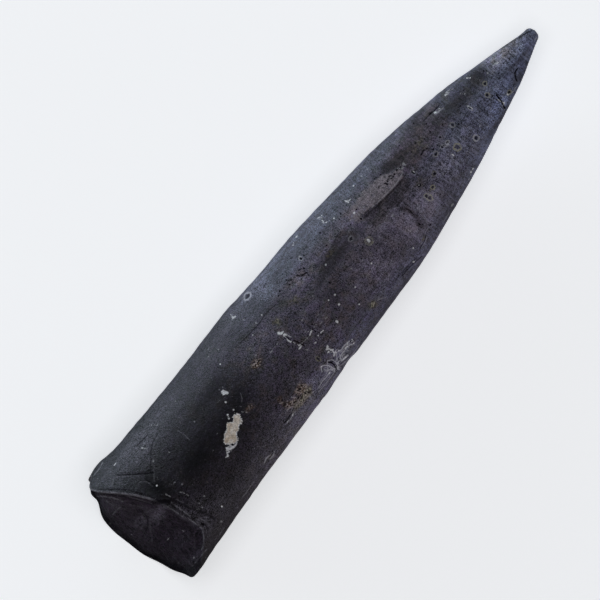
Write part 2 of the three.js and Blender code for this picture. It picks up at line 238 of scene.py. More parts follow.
# Where a skin of the outer layer is left, pale and mauve.
PALE_SKIN = (
    (53.8, 3.3), (54.6, 4.4), (55.6, 4.95), (58, 4.95), (60.4, 4.65), (61.4, 4.2), (62.3, 3.5),
    (63.4, 3.1), (63.2, 2.25), (62.4, 2), (60.5, 2.15), (58.6, 2.35), (57.1, 2.6), (56.2, 3.1), (55, 3.1),
)
# Where a thinner skin is left.
THIN_SKINS = (
    (
        (61.7, -1), (61.2, -1.7), (60.8, -2.5), (60.4, -3.1), (60.2, -3.9), (60.2, -4.6), (60.6, -5.1),
        (61.8, -4.9), (63.2, -4.4), (64.3, -3.6), (64.8, -2.6), (64, -1.5), (62.8, -1.1),
    ),
    (
        (54.4, 0.6), (55.4, 0.55), (56.2, 0.25), (57, 0.3), (57.6, 0.7), (58.3, 0.65), (58.7, 0.15),
        (59.1, -0.15), (59.2, -0.9), (59.5, -1.5), (59.55, -2.4), (59.5, -3.2), (59.1, -3.9),
        (58.6, -4.1), (57.7, -4.6), (56.9, -4), (56.6, -2.8), (56.8, -1.6), (56, -0.7), (54.8, -0.6),
    ),
)
# Where the dark layer below it is bare.
DARK_FLAKES = (
    (
        (55, 3.1), (56.2, 3.1), (57.1, 2.6), (58.6, 2.35), (60.5, 2.15), (62.4, 2), (63.2, 1.2),
        (62.6, 0.5), (61.2, 0.35), (60.1, -0.1), (59.6, -0.1), (59, 0.3), (58.3, 0.65), (57.5, 0.15),
        (56.8, -0.05), (56, 0.25), (55.2, 0.4), (54.9, 1.4),
    ),
    (
        (61.2, 4.55), (62.4, 5), (64.4, 4.9), (66.2, 4.3), (66, 3.5), (64.9, 3.3), (63.6, 3.5),
        (62.6, 3.6), (61.8, 4.1),
    ),
    (
        (59.3, -0.5), (59.9, -0.5), (60.05, -1.4), (60.2, -2.4), (59.9, -3.2), (59.5, -3.9), (59.3, -4.6),
        (58.7, -4.5), (58.9, -3.7), (59.4, -2.8), (59.5, -1.6),
    ),
    (
        (50.2, 3.9), (52, 4.2), (53, 3.6), (51.8, 3.1), (50.2, 3.2), (48.2, 2.7), (46.6, 2.9),
        (47.6, 3.6),
    ),
)

# Layers: height over the stone round about, how far inside an outline its edge starts and ends, outlines.
LAYERS = (
    (0.05, -0.15, 0.1, (PALE_SKIN,)),
    (-0.07, -0.15, 0.1, DARK_FLAKES),
    (-0.1, -0.2, 0.2, (CREAM_CHIP,)),
)

# Cracks and dark scratches: half width, darkness, depth, then station and across of each point. The rows that
# run beside the rim near the break are partly painted shadow along it.
DARK_LINES = (
    (0.1, 0.7, 0.12, ((6.7, 7.1), (7.3, 6.45), (7.9, 5.85), (8.5, 5.2), (9.1, 4.5), (9.75, 3.85))),
    (0.07, 0.5, 0.06, ((9.7, 4.05), (10.6, 4.75), (11.3, 5.25), (12, 5.8), (13, 6.3), (14.2, 6.5))),
    (0.07, 0.7, 0, ((11.7, 7.65), (12.4, 7.6), (13.2, 7.5))),
    (0.09, 0.5, 0.03, ((8.55, 3.9), (8.65, 3.2), (8.6, 2.7))),
    (0.13, 0.35, 0, ((3.5, 7.9), (4.3, 7), (5.2, 6), (6, 4.8), (6.6, 3.4), (7.1, 2.1), (7.3, 1))),
    (0.3, 0.6, 0.05, ((6.9, 1), (7.5, 0.3), (8.1, -0.4))),
    (0.2, 0.38, 0.05, ((8.5, -0.6), (8.8, -1.6), (9.1, -2.8), (9.55, -4.2), (9.9, -5.4), (10.15, -6.6))),
    (0.1, 0.4, 0.05, ((7.9, -1), (7.9, -2.3), (7.95, -3.6))),
    (0.1, 0.4, 0.05, ((8.6, -5.9), (8.65, -6.4), (8.55, -6.9))),
    (0.09, 0.45, 0.05, ((3.15, 7.3), (3.9, 6.2), (4.6, 5), (5.2, 3.7), (5.8, 2.4), (6.3, 1.1))),
    (0.1, 0.5, 0.04, ((4.65, 1.35), (4.55, 0.75), (4.2, 0.2), (3.6, -0.25), (2.9, -0.5), (2.2, -0.6))),
    (0.14, 0.2, 0.02, ((1.4, -1.2), (2.4, -2.2), (3.4, -2.8), (4.6, -3), (5.6, -3.1))),
    (0.1, 0.25, 0.02, ((4.2, -5.9), (5.4, -5.5), (6.6, -5.7), (7.4, -5.5))),
    (0.08, 0.9, 0.08, ((36.05, -0.3), (36.18, -0.8), (36.3, -1.45))),
    (0.06, 0.8, 0.05, ((35.78, 0.75), (35.75, 0.3))),
    (0.1, 0.8, 0.2, ((36.7, -6.2), (36.85, -6.5), (36.83, -6.85), (36.68, -7.1))),
    (0.06, 0.8, 0.08, ((70.8, 4.65), (71.9, 4.6), (72.9, 4.4), (73.5, 4.35))),
    (0.11, 1, 0.12, ((79.62, -1.3), (79.45, -2.1), (79.1, -2.85))),
    (0.1, 0.9, 0.1, ((83.1, -1.8), (83.35, -1.45), (83.7, -1.15), (84.1, -1.1))),
    (0.07, 0.8, 0.05, ((59.75, -1.2), (59.85, -1.7), (59.75, -2.2))),
    (0.07, 0.7, 0.05, ((65.15, -1.8), (65.3, -2.35))),
    (0.06, 0.5, 0.02, ((51.4, -6.05), (52.8, -6.15), (54.2, -6.2), (55.3, -6.4))),
    (0.07, 0.6, 0, ((52.4, -6.45), (54, -6.5), (55.8, -6.75))),
    (0.07, 0.4, 0.03, ((26.25, -6.1), (26.9, -6.3), (27.4, -6.2), (27.9, -6.1))),
    (0.05, 0.7, 0.03, ((21, -7.7), (21.5, -7.5), (22, -7.55))),
    (0.06, 0.7, 0.03, ((56.9, -5.95), (57.9, -5.85), (58.7, -5.45))),
    (0.08, 0.35, 0.03, ((55.6, 2.75), (57, 2.4), (58.6, 2.15), (60.2, 1.98), (61.8, 1.85), (63, 1.9))),
    (0.07, 0.6, 0, ((31.4, 5.35), (33.2, 5.15), (34.6, 5), (36.6, 5.2), (38, 4.95))),
    (0.07, 0.7, 0, ((88, 1.35), (88.9, 1.05), (89.5, 0.75))),
    (0.1, 0.8, 0.1, ((30, -10.2), (33, -10.9), (35.5, -10.7))),
    (0.1, 0.8, 0.1, ((47, 11.6), (50.5, 12.4), (53, 12.1))),
    (0.06, 0.5, 0, ((37.7, -7.25), (38.4, -7.42), (39, -7.45))),
)
# Pale scratches: half width, paleness, depth, then station and across of each point. The faint rows on the
# broken face near the break are partly painted highlights along its ridges.
PALE_LINES = (
    (0.12, 0.07, 0, ((9.2, 2.95), (9.9, 3.6), (10.6, 4.2), (11.3, 4.8))),
    (0.08, 0.05, 0, ((11.9, 5.4), (13, 6), (14.4, 6.3))),
    (0.07, 0.108, 0, ((7, 4.3), (7.6, 4.4), (8.1, 4.1), (8.35, 3.5), (8.4, 2.8))),
    (0.1, 0.09, 0, ((5.1, 7), (5.8, 7.3), (6.5, 7.2), (7, 6.7))),
    (0.09, 0.162, 0, ((2.55, 7.5), (3.1, 6.9), (3.5, 6.2), (3.85, 5.5), (4.05, 4.7))),
    (0.06, 0.09, 0, ((5.2, 4.3), (5.6, 3.3), (6, 2.2), (6.3, 1.3))),
    (0.06, 0.09, 0, ((4.5, 3.3), (4.9, 2.5), (5.4, 1.5))),
    (0.08, 0.144, 0, ((1.95, 4.45), (2.5, 4.42), (3.15, 4.28))),
    (0.07, 0.108, 0, ((2.7, 6.1), (2.75, 5.6), (2.85, 5.2))),
    (0.14, 0.063, 0, ((4.8, 1.15), (5.6, 0.75), (6.5, 0.1), (7.2, -0.6))),
    (0.12, 0.054, 0, ((4.4, -0.1), (3.7, -0.6), (3, -1.3), (2.4, -1.9))),
    (0.1, 0.054, 0, ((2.6, 1.2), (3.2, 1.5), (3.9, 1.3), (4.1, 0.8), (3.7, 0.3), (3, 0.2))),
    (0.1, 0.054, 0, ((6.7, -6), (6, -6.6), (5.2, -7.2))),
    (0.06, 0.16, -0.03, ((7.5, -0.9), (7.6, -2), (7.65, -3.2))),
    (0.09, 0.18, -0.03, ((8.2, -1.1), (8.3, -2.4), (8.35, -3.9))),
    (0.07, 0.25, 0, ((7.95, -4.6), (7.98, -5.3), (7.95, -5.8))),
    (0.08, 0.25, 0, ((7.85, -6.5), (7.3, -7.1), (6.6, -7.7), (5.9, -8))),
    (0.09, 0.108, -0.03, ((9.05, -1.4), (9.2, -2.3), (9.35, -3.3))),
    (0.07, 0.09, 0, ((8.55, -5.2), (8.95, -5.6), (9.1, -6.3), (8.95, -6.9), (8.6, -7.3))),
    (0.04, 0.3, 0, ((4.6, 9.6), (5.4, 9.5), (6.4, 9.6))),
    (0.06, 0.06, 0, ((3.8, 8.5), (5, 8.5), (6.2, 8.5), (8.4, 8.55), (12.2, 8.5))),
    (0.07, 0.12, 0, ((3.2, -8.5), (4.6, -8.55), (6, -8.6))),
    (0.06, 0.12, 0, ((8.1, -8.6), (9, -8.6), (9.8, -8.5))),
    (0.055, 0.94, 0.03, ((35.15, -5.75), (35.45, -5.4), (35.8, -5.5), (36.15, -5.95), (36.35, -6.5),
        (36.45, -7.1), (36.7, -7.45))),
    (0.05, 0.88, 0.03, ((36.8, -5.85), (37.2, -6.2), (37.25, -6.7), (37, -7.2), (36.8, -7.5))),
    (0.044, 0.61, 0, ((33.2, -6.9), (34, -6.8), (34.7, -6.86), (35.5, -6.85))),
    (0.04, 0.41, 0, ((33.9, -6.55), (34.8, -6.6), (35.6, -6.5))),
    (0.03, 0.6, 0, ((38.2, -7.6), (39.2, -7.75), (40.2, -7.6), (40.9, -7.6))),
    (0.04, 0.41, 0, ((32.8, -7.3), (34.5, -7.35), (36, -7.3))),
    (0.07, 0.165, 0.02, ((60.4, -5), (60.1, -4.4), (60.3, -3.4), (60.9, -2.4), (61.5, -1.2))),
    (0.07, 0.18, 0, ((57, -6.05), (57.9, -6), (58.5, -5.7))),
    (0.06, 0.15, 0, ((58.8, -5.3), (59.4, -5.1), (60.1, -5.3))),
    (0.08, 0.5, 0, ((20.6, -7.35), (21.1, -7.2), (21.6, -7.4))),
    (0.07, 0.45, 0, ((21.4, -7.7), (21.9, -7.75), (22.2, -7.6))),
    (0.06, 0.11, 0, ((21.6, -5.4), (21.8, -5.8), (22.2, -6))),
    (0.08, 0.193, 0, ((26.5, -6.45), (27.1, -6.5), (27.7, -6.45), (28.3, -6.35))),
    (0.06, 0.3, 0, ((47.6, -5.85), (47.9, -6), (48.3, -6.3))),
    (0.06, 0.16, 0, ((25, 0.2), (25.4, 0.45), (25.7, 0.9))),
    (0.07, 0.12, 0, ((16.5, 2.8), (16.6, 3.5), (16.5, 4.4))),
    (0.06, 0.25, 0, ((61.6, -6.2), (62.6, -6.1))),
    (0.07, 0.193, 0, ((57.4, 0.55), (56.9, 0.2), (56.2, 0.25), (55.5, 0.5))),
    (0.06, 0.193, 0, ((57.5, 0.6), (58.1, 0.75), (58.6, 0.4), (59.1, 0))),
    (0.09, 0.3, 0, ((57.2, 2.7), (58.6, 2.45), (60.2, 2.25), (61.8, 2.15), (63.1, 2.3))),
    (0.07, 0.16, 0, ((14.6, -7.95), (16.4, -7.9), (18.4, -7.8))),
    (0.06, 0.1, 0, ((23, -7.5), (26.5, -7.35), (29.5, -7.25))),
    (0.06, 0.85, 0, ((37.4, -6.95), (38, -6.75), (38.4, -6.45), (39.1, -6.5), (39.8, -6.45),
        (40.3, -6.55))),
    (0.06, 0.75, 0, ((38.5, -5.85), (39, -6.05), (39.6, -5.95), (40.4, -6.1))),
    (0.14, 0.65, 0, ((38.1, -7.1), (38.75, -7.2))),
    (0.04, 0.6, 0, ((37.6, -6.45), (38, -6.15), (38.15, -5.8))),
    (0.05, 0.5, 0, ((40.6, -6.8), (41.2, -6.85))),
    (0.07, 0.75, 0, ((35.55, -6.25), (35.95, -6.6), (36.1, -6.95))),
    (0.03, 0.5, 0, ((37.2, -7.35), (37.8, -7.5), (38.4, -7.6))),
    (0.07, 0.6, 0, ((28.15, -5.35), (28.45, -5.4), (28.8, -5.6))),
    (0.06, 0.5, 0, ((29.2, -5.95), (29.6, -5.85), (30.15, -5.7))),
    (0.06, 0.55, 0, ((30.8, -4.8), (30.9, -5.25))),
    (0.06, 0.55, 0, ((32.05, -4.85), (32.3, -5.3))),
    (0.06, 0.6, 0, ((31.05, -6.1), (31.25, -6.6))),
    (0.06, 0.5, 0, ((31.5, -6.2), (31.6, -6.55), (32, -6.65))),
    (0.06, 0.4, 0, ((30, -6.4), (30.9, -6.45))),
    (0.07, 0.5, 0, ((28.25, -4.1), (28.4, -4.2))),
    (0.07, 0.5, 0, ((28.65, -4.35), (28.8, -4.45))),
    (0.06, 0.55, 0, ((29.8, -4.85), (29.9, -5))),
)

# Rust stains: station, across, half length, half width, strength.
RUST = (
    (30.1, 1.85, 0.9, 0.8, 1.1), (31.2, 1.8, 0.8, 0.4, 0.5), (24.9, -1.1, 0.8, 0.6, 0.7),
    (25.5, -1.2, 0.4, 0.5, 0.3), (21.4, -7.5, 0.7, 0.25, 0.6), (36.6, 3.3, 0.8, 0.8, 0.8),
    (36.1, -4.6, 0.3, 0.3, 0.5), (44.5, -3.9, 0.4, 0.35, 0.7), (46.6, -5.6, 0.8, 0.6, 1),
    (57.9, -5.6, 0.9, 0.3, 0.6), (81.2, -2.2, 0.5, 0.4, 0.6), (63.7, -2.1, 0.9, 0.3, 0.6),
    (62.9, -2.9, 0.5, 0.4, 0.5), (79.1, -0.2, 0.4, 0.5, 0.5), (53.1, 0, 0.7, 0.5, 0.45),
    (20, -1.5, 0.7, 0.4, 0.9), (27.8, 4.6, 0.5, 0.5, 0.35), (40.5, 3, 1, 1.2, 0.55),
    (48.5, 3.3, 1.6, 0.5, 0.5), (64.3, 0, 0.7, 0.6, 0.4), (38, -13, 1.6, 1.2, 0.9),
    (18, 13.5, 1.4, 1.3, 0.8), (62, 11, 1.2, 1, 0.8), (51, -12.5, 1.4, 0.9, 0.7),
    (67.8, 2.8, 2.2, 1.1, 0.55), (28.4, -3.5, 0.7, 0.5, 0.6), (28.4, -4.7, 0.7, 0.8, 0.9),
    (29.4, -5.3, 0.8, 0.5, 0.8), (31.4, -5, 1, 0.8, 1.4), (31.9, -6.1, 0.5, 0.5, 0.9),
    (30.3, -6.25, 1.6, 0.5, 1.2),
)
# Where the stone is crushed to white powder, with the same columns.
CRUSHED = (
    (36, -6.6, 0.7, 0.8, 0.6), (35.5, -5.9, 0.4, 0.4, 0.9), (38.4, -6.9, 1.7, 0.7, 0.9),
    (40, -6.3, 1.2, 0.5, 0.7), (30.2, -6.3, 1.6, 0.5, 0.9), (79.4, -2.4, 0.5, 0.7, 0.6),
    (33.4, 8.3, 0.6, 0.5, 0.4), (35.6, 1.5, 0.4, 0.7, 0.4), (31.9, -4.7, 0.7, 0.5, 0.5),
    (28.5, -5.4, 0.6, 0.3, 0.7), (73.2, 3.9, 0.9, 0.5, 0.5), (75.8, 4.4, 0.8, 0.3, 0.5),
    (64, 3, 0.6, 0.4, 0.5),
)
# Where the stone is darker, or with a minus lighter, than round about: partly the stone's own patches, partly
# painted shade along the lower limbs and the broken face's edge, and painted light along the upper +Y edge.
SHADES = (
    (3.5, -9.3, 5, 0.6, 1), (0.45, -1, 0.75, 8, 0.8), (1.7, -6.2, 0.8, 2.4, 0.7),
    (2.6, -8.4, 1.2, 0.6, 0.8), (1.2, 4.4, 0.9, 2.2, 0.5), (5.8, -0.2, 1.2, 0.8, -1.3),
    (8.7, 2.2, 1.6, 2.2, 1.5), (14.6, 0.2, 3.4, 2.2, 1.25), (23, 4.3, 5, 1.3, 0.9),
    (21, -0.2, 4.8, 2.8, 1.15), (25.8, 1.2, 2.8, 2, 0.9), (12, 8.6, 7, 1, -0.4),
    (28.6, -3.6, 1.6, 0.9, 0.3), (32.8, 3.8, 2.6, 1.2, -1.3), (33.5, 1, 2.5, 1.5, -0.3),
    (33.5, 5.6, 4, 0.45, 0.3), (31.5, 7.2, 1.6, 1, 0.3), (36.3, 6.6, 1.2, 0.9, 0.4),
    (39, 7.2, 1.1, 1.4, -1.2), (45.8, 6.6, 0.8, 1, 0.4), (42, 7.4, 1.2, 0.5, 0.4),
    (43.4, 4.4, 2.2, 1.3, -1.7), (38, 5.2, 1.2, 0.8, 0.3), (34, 7.4, 1.2, 1.2, -0.7),
    (27, -7.2, 5, 1, -0.7), (32.4, -6.2, 3.4, 1.6, -2.2), (34.2, -4.2, 1, 0.8, 0.6),
    (24, -8.3, 10, 0.5, -2.4), (38, -6.6, 3.6, 1.3, -1), (28.4, -4.8, 1.6, 0.8, -0.6),
    (48, -7.4, 5, 0.4, 0.5), (38.6, -1.8, 4, 3, -0.45), (40.8, -1.8, 1.1, 3, -0.35),
    (44, -0.6, 1.2, 1.6, 0.6), (45, 2, 2.2, 1, 0.25), (45, -6.2, 2, 1.2, -0.3),
    (50.3, -3, 2.3, 2.3, -1.6), (52, -4.2, 0.8, 1, 0.2), (49.2, 2.5, 4.2, 0.95, 1.2),
    (51, 3.9, 1.6, 0.7, -0.8), (55.4, 3.8, 2.4, 0.9, -1.4), (56.5, 1.2, 2.2, 1.2, -0.8),
    (58.8, 1.4, 4.2, 0.9, 0.35), (57.9, -2.4, 1.5, 2.4, -0.8), (59.3, -3.8, 0.5, 0.6, 0.5),
    (61.6, -3, 2, 1.8, -0.7), (59, -2, 6, 2.2, -0.3), (56, -6.2, 4, 0.8, -0.5), (63.4, -6, 2.6, 0.7, 0.6),
    (62.5, 4.3, 2.2, 1, 0.8), (64.3, -0.1, 1.3, 0.8, 0.5), (65.8, 2.8, 2.8, 1.4, 0.75),
    (69.4, 4.6, 4, 1.3, 0.75), (69.5, -1.3, 4.5, 1.7, -0.7), (68, -4.2, 3, 0.6, 0.3),
    (70, 1, 2.6, 1, 0.25), (73.5, 2.2, 2.4, 1.2, 0.4), (76.4, 2.3, 2.2, 1.4, 0.9), (76, 4.6, 4, 0.7, 0.5),
    (70, 5.6, 1.8, 0.6, 0.6), (78, -3.6, 4.5, 0.5, 1), (79.7, -2, 1.6, 0.7, -1.1),
    (83.8, -2, 3.6, 0.5, 0.8), (80.3, 2.4, 1.9, 1.3, 1.4), (82.4, 0.8, 1.8, 0.7, 0.5),
    (84, 1.5, 3, 0.9, -1.15), (86.6, -0.5, 2.2, 0.3, 0.7), (86.4, 0.6, 1.8, 0.7, -2.2),
    (86.6, -1.2, 2.4, 0.6, 0.3), (50, -10.3, 6, 2, 0.3), (30, 14, 9, 4, 0.35), (66, -8.6, 5, 2, 0.35),
    (56, 13, 6, 2.5, 0.3), (50.5, 7.6, 3, 1, -0.4), (82.6, 3, 1.2, 0.8, -0.6), (38, 8.6, 6, 0.6, -0.8),
    (68, -2.8, 2.4, 1, -0.5), (72.5, 3.1, 3.5, 0.9, 0.7), (32, -7.8, 3, 0.6, -0.8),
    (84.2, -0.25, 1.8, 0.4, 0.5), (77.6, -2.3, 1.6, 1, -0.5), (78.2, 3, 1.6, 1, 0.3),
    (70, -0.6, 2.4, 0.8, 0.3), (40, 9, 4, 0.5, -0.5), (50, 8.5, 5, 0.5, -0.5), (60, 7.7, 4, 0.5, -0.5),
)
# Where a grey, dusty film lies over the black calcite. On the +Y flank near the break and on the broken
# face's bulge it is partly painted sheen where the light falls.
FILM_AND_SHEEN = (
    (11.6, -6, 2.8, 1.7, 0.4), (8.6, -6, 1, 1.8, 0.8), (10.6, -3.6, 1.2, 1.6, 0.4),
    (8.6, -2.6, 0.9, 1.4, 0.5), (29, -6.2, 4, 1.2, 0.9), (18, -6.6, 7, 1.3, 0.3), (27, -7.4, 8, 0.9, 0.6),
    (33.5, -6.8, 4, 1, 0.9), (11, 6.6, 4, 1.8, 1), (5.7, -0.5, 1.2, 0.8, 1.4), (3.4, 0.7, 1, 0.7, 0.6),
    (3.2, 5, 1.2, 1, 0.4), (4.4, -8, 1.6, 0.5, 0.5), (5.4, -5.2, 1.6, 1.4, 0.3), (7.7, -4, 0.4, 2.6, 0.5),
    (13, 8.2, 6, 0.9, 0.9), (39, -6.6, 3, 1.2, 0.4), (32, -4, 2, 1.2, 0.5), (16, 7, 4, 1.2, 0.5),
    (6, 7.2, 1.8, 1.4, 0.5),
)
# fmt: on
FAR = 9.0  # stands for any place well away from a mark

# ---------------------------------------------------------------------------------------------
# Arithmetic on whole arrays


def bell(t):
    """exp(-t squared)"""
    return np.exp(-t * t)


def smoothstep(low, high, x):
    """3 t^2 - 2 t^3, with t running from 0 at low to 1 at high"""
    t = np.clip((x - low) / (high - low), 0, 1)
    return t * t * (3 - 2 * t)


def waves(points, size, length, count, seed):
    """An even, lumpy field of about that size: a sum of count plane waves of about that length in mm."""
    rng = np.random.default_rng(seed)
    directions = rng.normal(size=(count, 3))
    directions /= np.linalg.norm(directions, axis=1, keepdims=True)
    turns = directions * (2 * np.pi / length * rng.uniform(0.7, 1.5, (count, 1)))
    phases = rng.uniform(0, 2 * np.pi, count)
    return size * np.sin(points @ turns.T + phases).sum(-1) * math.sqrt(2 / count)


def from_path(x, y, path):
    """Distance to a path of straight lines, and distance across the nearest of them, + on the left."""
    nearest, across = np.full(x.shape, np.inf), np.zeros(x.shape)
    for (ax, ay), (bx, by) in zip(path[:-1], path[1:]):
        dx, dy = bx - ax, by - ay
        length = math.hypot(dx, dy)
        t = np.clip(((x - ax) * dx + (y - ay) * dy) / length**2, 0, 1)
        distance = np.hypot(x - ax - t * dx, y - ay - t * dy)
        across = np.where(distance < nearest, (dx * (y - ay) - dy * (x - ax)) / length, across)
        nearest = np.minimum(nearest, distance)
    return nearest, across


def depth_inside(x, y, edge):
    """Distance to a closed edge, + inside it, where a ray crosses it an odd number of times."""
    loop = edge + edge[:1]
    inside = np.zeros(x.shape, bool)
    for (ax, ay), (bx, by) in zip(loop[:-1], loop[1:]):
        if ay != by:
            crossing = ax + (y - ay) * (bx - ax) / (by - ay)
            inside ^= ((ay > y) != (by > y)) & (x < crossing)
    return np.where(inside, 1, -1) * from_path(x, y, loop)[0]


def deepest_inside(x, y, edges):
    """Distance to the edge of the closed shape that each place lies deepest in, or nearest to."""
    return np.max([depth_inside(x, y, edge) for edge in edges], axis=0)


def stain(x, y, spots):
    """Sum of bells, each strength exp(-((x - station) / length)^2 - ((y - across) / width)^2)."""
    total = np.zeros(x.shape)
    for station, across, length, width, strength in spots:
        total += strength * np.exp(-(((x - station) / length) ** 2) - ((y - across) / width) ** 2)
    return total


# ---------------------------------------------------------------------------------------------
# The guard's surface


def outline(stations):
    """Half widths and half height at each station: cubics between the rows of OUTLINE."""
    rows = np.array(OUTLINE, float)
    at, values = rows[:, 0], rows[:, 1:]
    before, after = np.r_[0, : len(at) - 1], np.r_[1 : len(at), len(at) - 1]
    slopes = (values[after] - values[before]) / (at[after] - at[before])[:, None]
    i = np.clip(np.searchsorted(at, stations, side="right") - 1, 0, len(at) - 2)
    span = (at[i + 1] - at[i])[..., None]
    t = (np.asarray(stations, float) - at[i])[..., None] / span
    return (
        values[i] * (2 * t**3 - 3 * t**2 + 1)
        + slopes[i] * span * (t**3 - 2 * t**2 + t)
        + values[i + 1] * (3 * t**2 - 2 * t**3)
        + slopes[i + 1] * span * (t**3 - t**2)
    )


def section(stations):
    """Middle across, half width and half height: the outline, closed by a quarter ellipse at the apex."""
    left, right, height = np.moveaxis(outline(stations), -1, 0)
    past = np.maximum(0, stations - (LENGTH - APEX_ROUNDING)) / APEX_ROUNDING
    rounding = np.sqrt(np.maximum(0, 1 - past * past))
    return (left - right) / 2, (left + right) / 2 * rounding, height * rounding


def axis_height(stations):
    """Height of the axis over the ground, which falls evenly towards the apex."""
    return float(outline(REST_STATION)[2]) - BELLY_WEAR - REST_DIP * (stations - REST_STATION)


def on_axis(station):
    """Across and height of the axis at one station."""
    return float(section(np.array(station))[0]), float(axis_height(station))


def break_station(across, height):
    """The broken face: a gently bent plane, with a bell for each scoop."""
    station = HEART + TILT * height + LEAN * across + TWIST * across * height + BOW * across**2
    for y, z, radius, depth in BREAK_SCOOPS:
        station = station + depth * bell(np.hypot(across - y, height - z) / radius)
    return station


def broad_relief(stations, angles, rims):
    """Swells, lumps, the flake's scar and the apex's furrow, each of sines, bells or smooth steps."""
    half_width = section(stations)[1]
    fade = np.minimum(1, half_width / SLENDER)
    degrees = np.degrees(angles)

    def arc_from(at):
        return np.radians((degrees - at + 180) % 360 - 180) * half_width

    swells = sum(h * np.sin(lobes * angles + rate * stations + phase) for lobes, rate, phase, h in SWELLS)
    lumps = sum(
        height * bell((stations - at) / along) * bell(arc_from(angle) / across)
        for at, angle, along, across, height in SIDE_RELIEF
    )
    wide = smoothstep(FLAKE_FROM - FLAKE_BLEND, FLAKE_FROM + FLAKE_BLEND, degrees)
    wide = wide * (1 - smoothstep(FLAKE_TO - FLAKE_BLEND, FLAKE_TO + FLAKE_BLEND, degrees))
    scar = wide * (1 - smoothstep(FLAKE_LENGTH - FLAKE_EDGE, FLAKE_LENGTH + FLAKE_EDGE, stations - rims))
    furrow = FURROW_DEPTH * smoothstep(FURROW_START, FURROW_END, stations)
    furrow = furrow * bell(arc_from(FURROW_ANGLE) / FURROW_HALF_WIDTH)
    return lumps + fade * (swells - furrow) - FLAKE_DEPTH * scar


def side_point(stations, angles, lift):
    """Across: middle + (half width + lift) cos. Height: axis + (half height + lift) sin, or 0 if lower."""
    middle, half_width, half_height = section(stations)
    y = middle + (half_width + lift) * np.cos(angles)
    z = axis_height(stations) + (half_height + lift) * np.sin(angles)
    return y, np.maximum(z, 0)


def rim_stations(angles):
    """Where the side meets the break, by repetition."""
    rims = np.full(angles.shape, HEART)
    for _ in range(RIM_STEPS):
        y, z = side_point(rims, angles, broad_relief(rims, angles, rims))
        rims = break_station(y - section(rims)[0], z - axis_height(rims))
    return rims


def unrolled(stations, angles):
    """Across as seen from above, running on as an arc length below the widest line."""
    middle, half_width, _ = section(stations)
    past = np.where(np.sin(angles) < 0, 1 - np.arcsin(np.sin(angles)), np.abs(np.cos(angles)))
    return middle + half_width * np.sign(np.cos(angles)) * past


def fine_relief(x, y, points):
    """Height of what marks the skin: a dip and a lip for a boring, a groove for a line, layers and lumps."""
    lift = np.zeros(x.shape)
    for station, across, along, wide, depth, *_ in BORINGS:
        share = np.hypot((x - station) / along, (y - across) / wide)
        lift += depth * (LIP_HEIGHT * bell((share - LIP_PLACE) / LIP_REACH) - bell(share / HOLE_REACH))
    for _, _, depth, path in DARK_LINES + PALE_LINES:
        lift -= depth * bell(from_path(x, y, path)[0] / LINE_REACH)
    for height, start, end, edges in LAYERS:
        lift += height * smoothstep(start, end, deepest_inside(x, y, edges))
    crushed = np.minimum(1, stain(x, y, CRUSHED))
    return lift + sum(waves(points, *row) for row in SKIN_LUMPS) + crushed * waves(points, *CRUSHED_LUMPS)


def face_relief(across, height, points, sizes):
    """Height of the broken face's marks: growth rings round the heart, fibres that cross them, and lumps."""
    radius = np.hypot(across, height)
    rings = np.sin(2 * np.pi * (radius + waves(points, *RING_BEND)) * MM / sizes.ring_spacing)
    fibres = np.sin(FIBRES * np.arctan2(height, across) + waves(points, *FIBRE_BEND))
    marked = sizes.ring_height / MM * rings + FIBRE_HEIGHT * fibres
    return smoothstep(0, RING_START, radius) * marked + sum(waves(points, *row) for row in FACE_LUMPS)


def face_grid(rims, rim_across, rim_height, sizes):
    """Points of the broken face and their distances to the rim, by rings that lie a share of the way from its
    heart to the rim."""
    share = np.arange(1, FACE_RINGS)[:, None] / FACE_RINGS
    share = share + FACE_CROWDING * share * (1 - share)
    stations = HEART + (rims - HEART) * share
    across, height = rim_across * share, rim_height * share
    points = [break_station(across, height), section(stations)[0] + across, axis_height(stations) + height]
    points = np.stack(points, -1)
    to_rim = (1 - share) * np.hypot(rim_across, rim_height)
    relief = face_relief(across, height, points, sizes) * smoothstep(0, FACE_FADE, to_rim)
    points[..., 0] += relief + sizes.rim_wear / MM * bell(to_rim / RIM_WEAR_REACH)
    return points, to_rim


def side_grid(rims, angles, sizes):
    """Points of the side, with their acrosses and distances from the rim, by rings that lie a share of the
    way from the rim to the apex."""
    t = np.arange(SIDE_RINGS)[:, None] / SIDE_RINGS
    stations = rims + (LENGTH - rims) * (t - SIDE_CROWDING * np.sin(2 * np.pi * t))
    turn = np.broadcast_to(angles, stations.shape)
    lift = broad_relief(stations, turn, rims)
    plain = np.stack([stations, *side_point(stations, turn, lift)], -1)
    across, from_rim = unrolled(stations, turn), stations - rims
    fade = np.minimum(1, section(stations)[1] / SLENDER) * smoothstep(0, SIDE_FADE, from_rim)
    lift = lift + fine_relief(stations, across, plain) * fade
    lift = lift - sizes.rim_wear / MM * bell(from_rim / RIM_WEAR_REACH)
    return np.stack([stations, *side_point(stations, turn, lift)], -1), across, from_rim


def guard_grid(sizes):
    """Points of the whole surface, in mm, by rings from the heart of the broken face to the apex, with their
    stations and acrosses, and how far each lies onto the face from its rim."""
    angles = np.arange(AROUND) * 2 * np.pi / AROUND
    rims = rim_stations(angles)
    rim_y, rim_z = side_point(rims, angles, broad_relief(rims, angles, rims))
    face, to_rim = face_grid(rims, rim_y - section(rims)[0], rim_z - axis_height(rims), sizes)
    side, across, from_rim = side_grid(rims, angles, sizes)
    heart, apex = (break_station(0, 0), *on_axis(HEART)), (LENGTH, *on_axis(LENGTH))
    points = np.concatenate([[heart], face.reshape(-1, 3), side.reshape(-1, 3), [apex]])
    x = np.r_[HEART, points[1:, 0]]
    y = np.r_[0, face[..., 1].ravel(), across.ravel(), 0]
    onto_face = np.r_[FAR, to_rim.ravel(), -from_rim.ravel(), -LENGTH]
    return points, x, y, onto_face


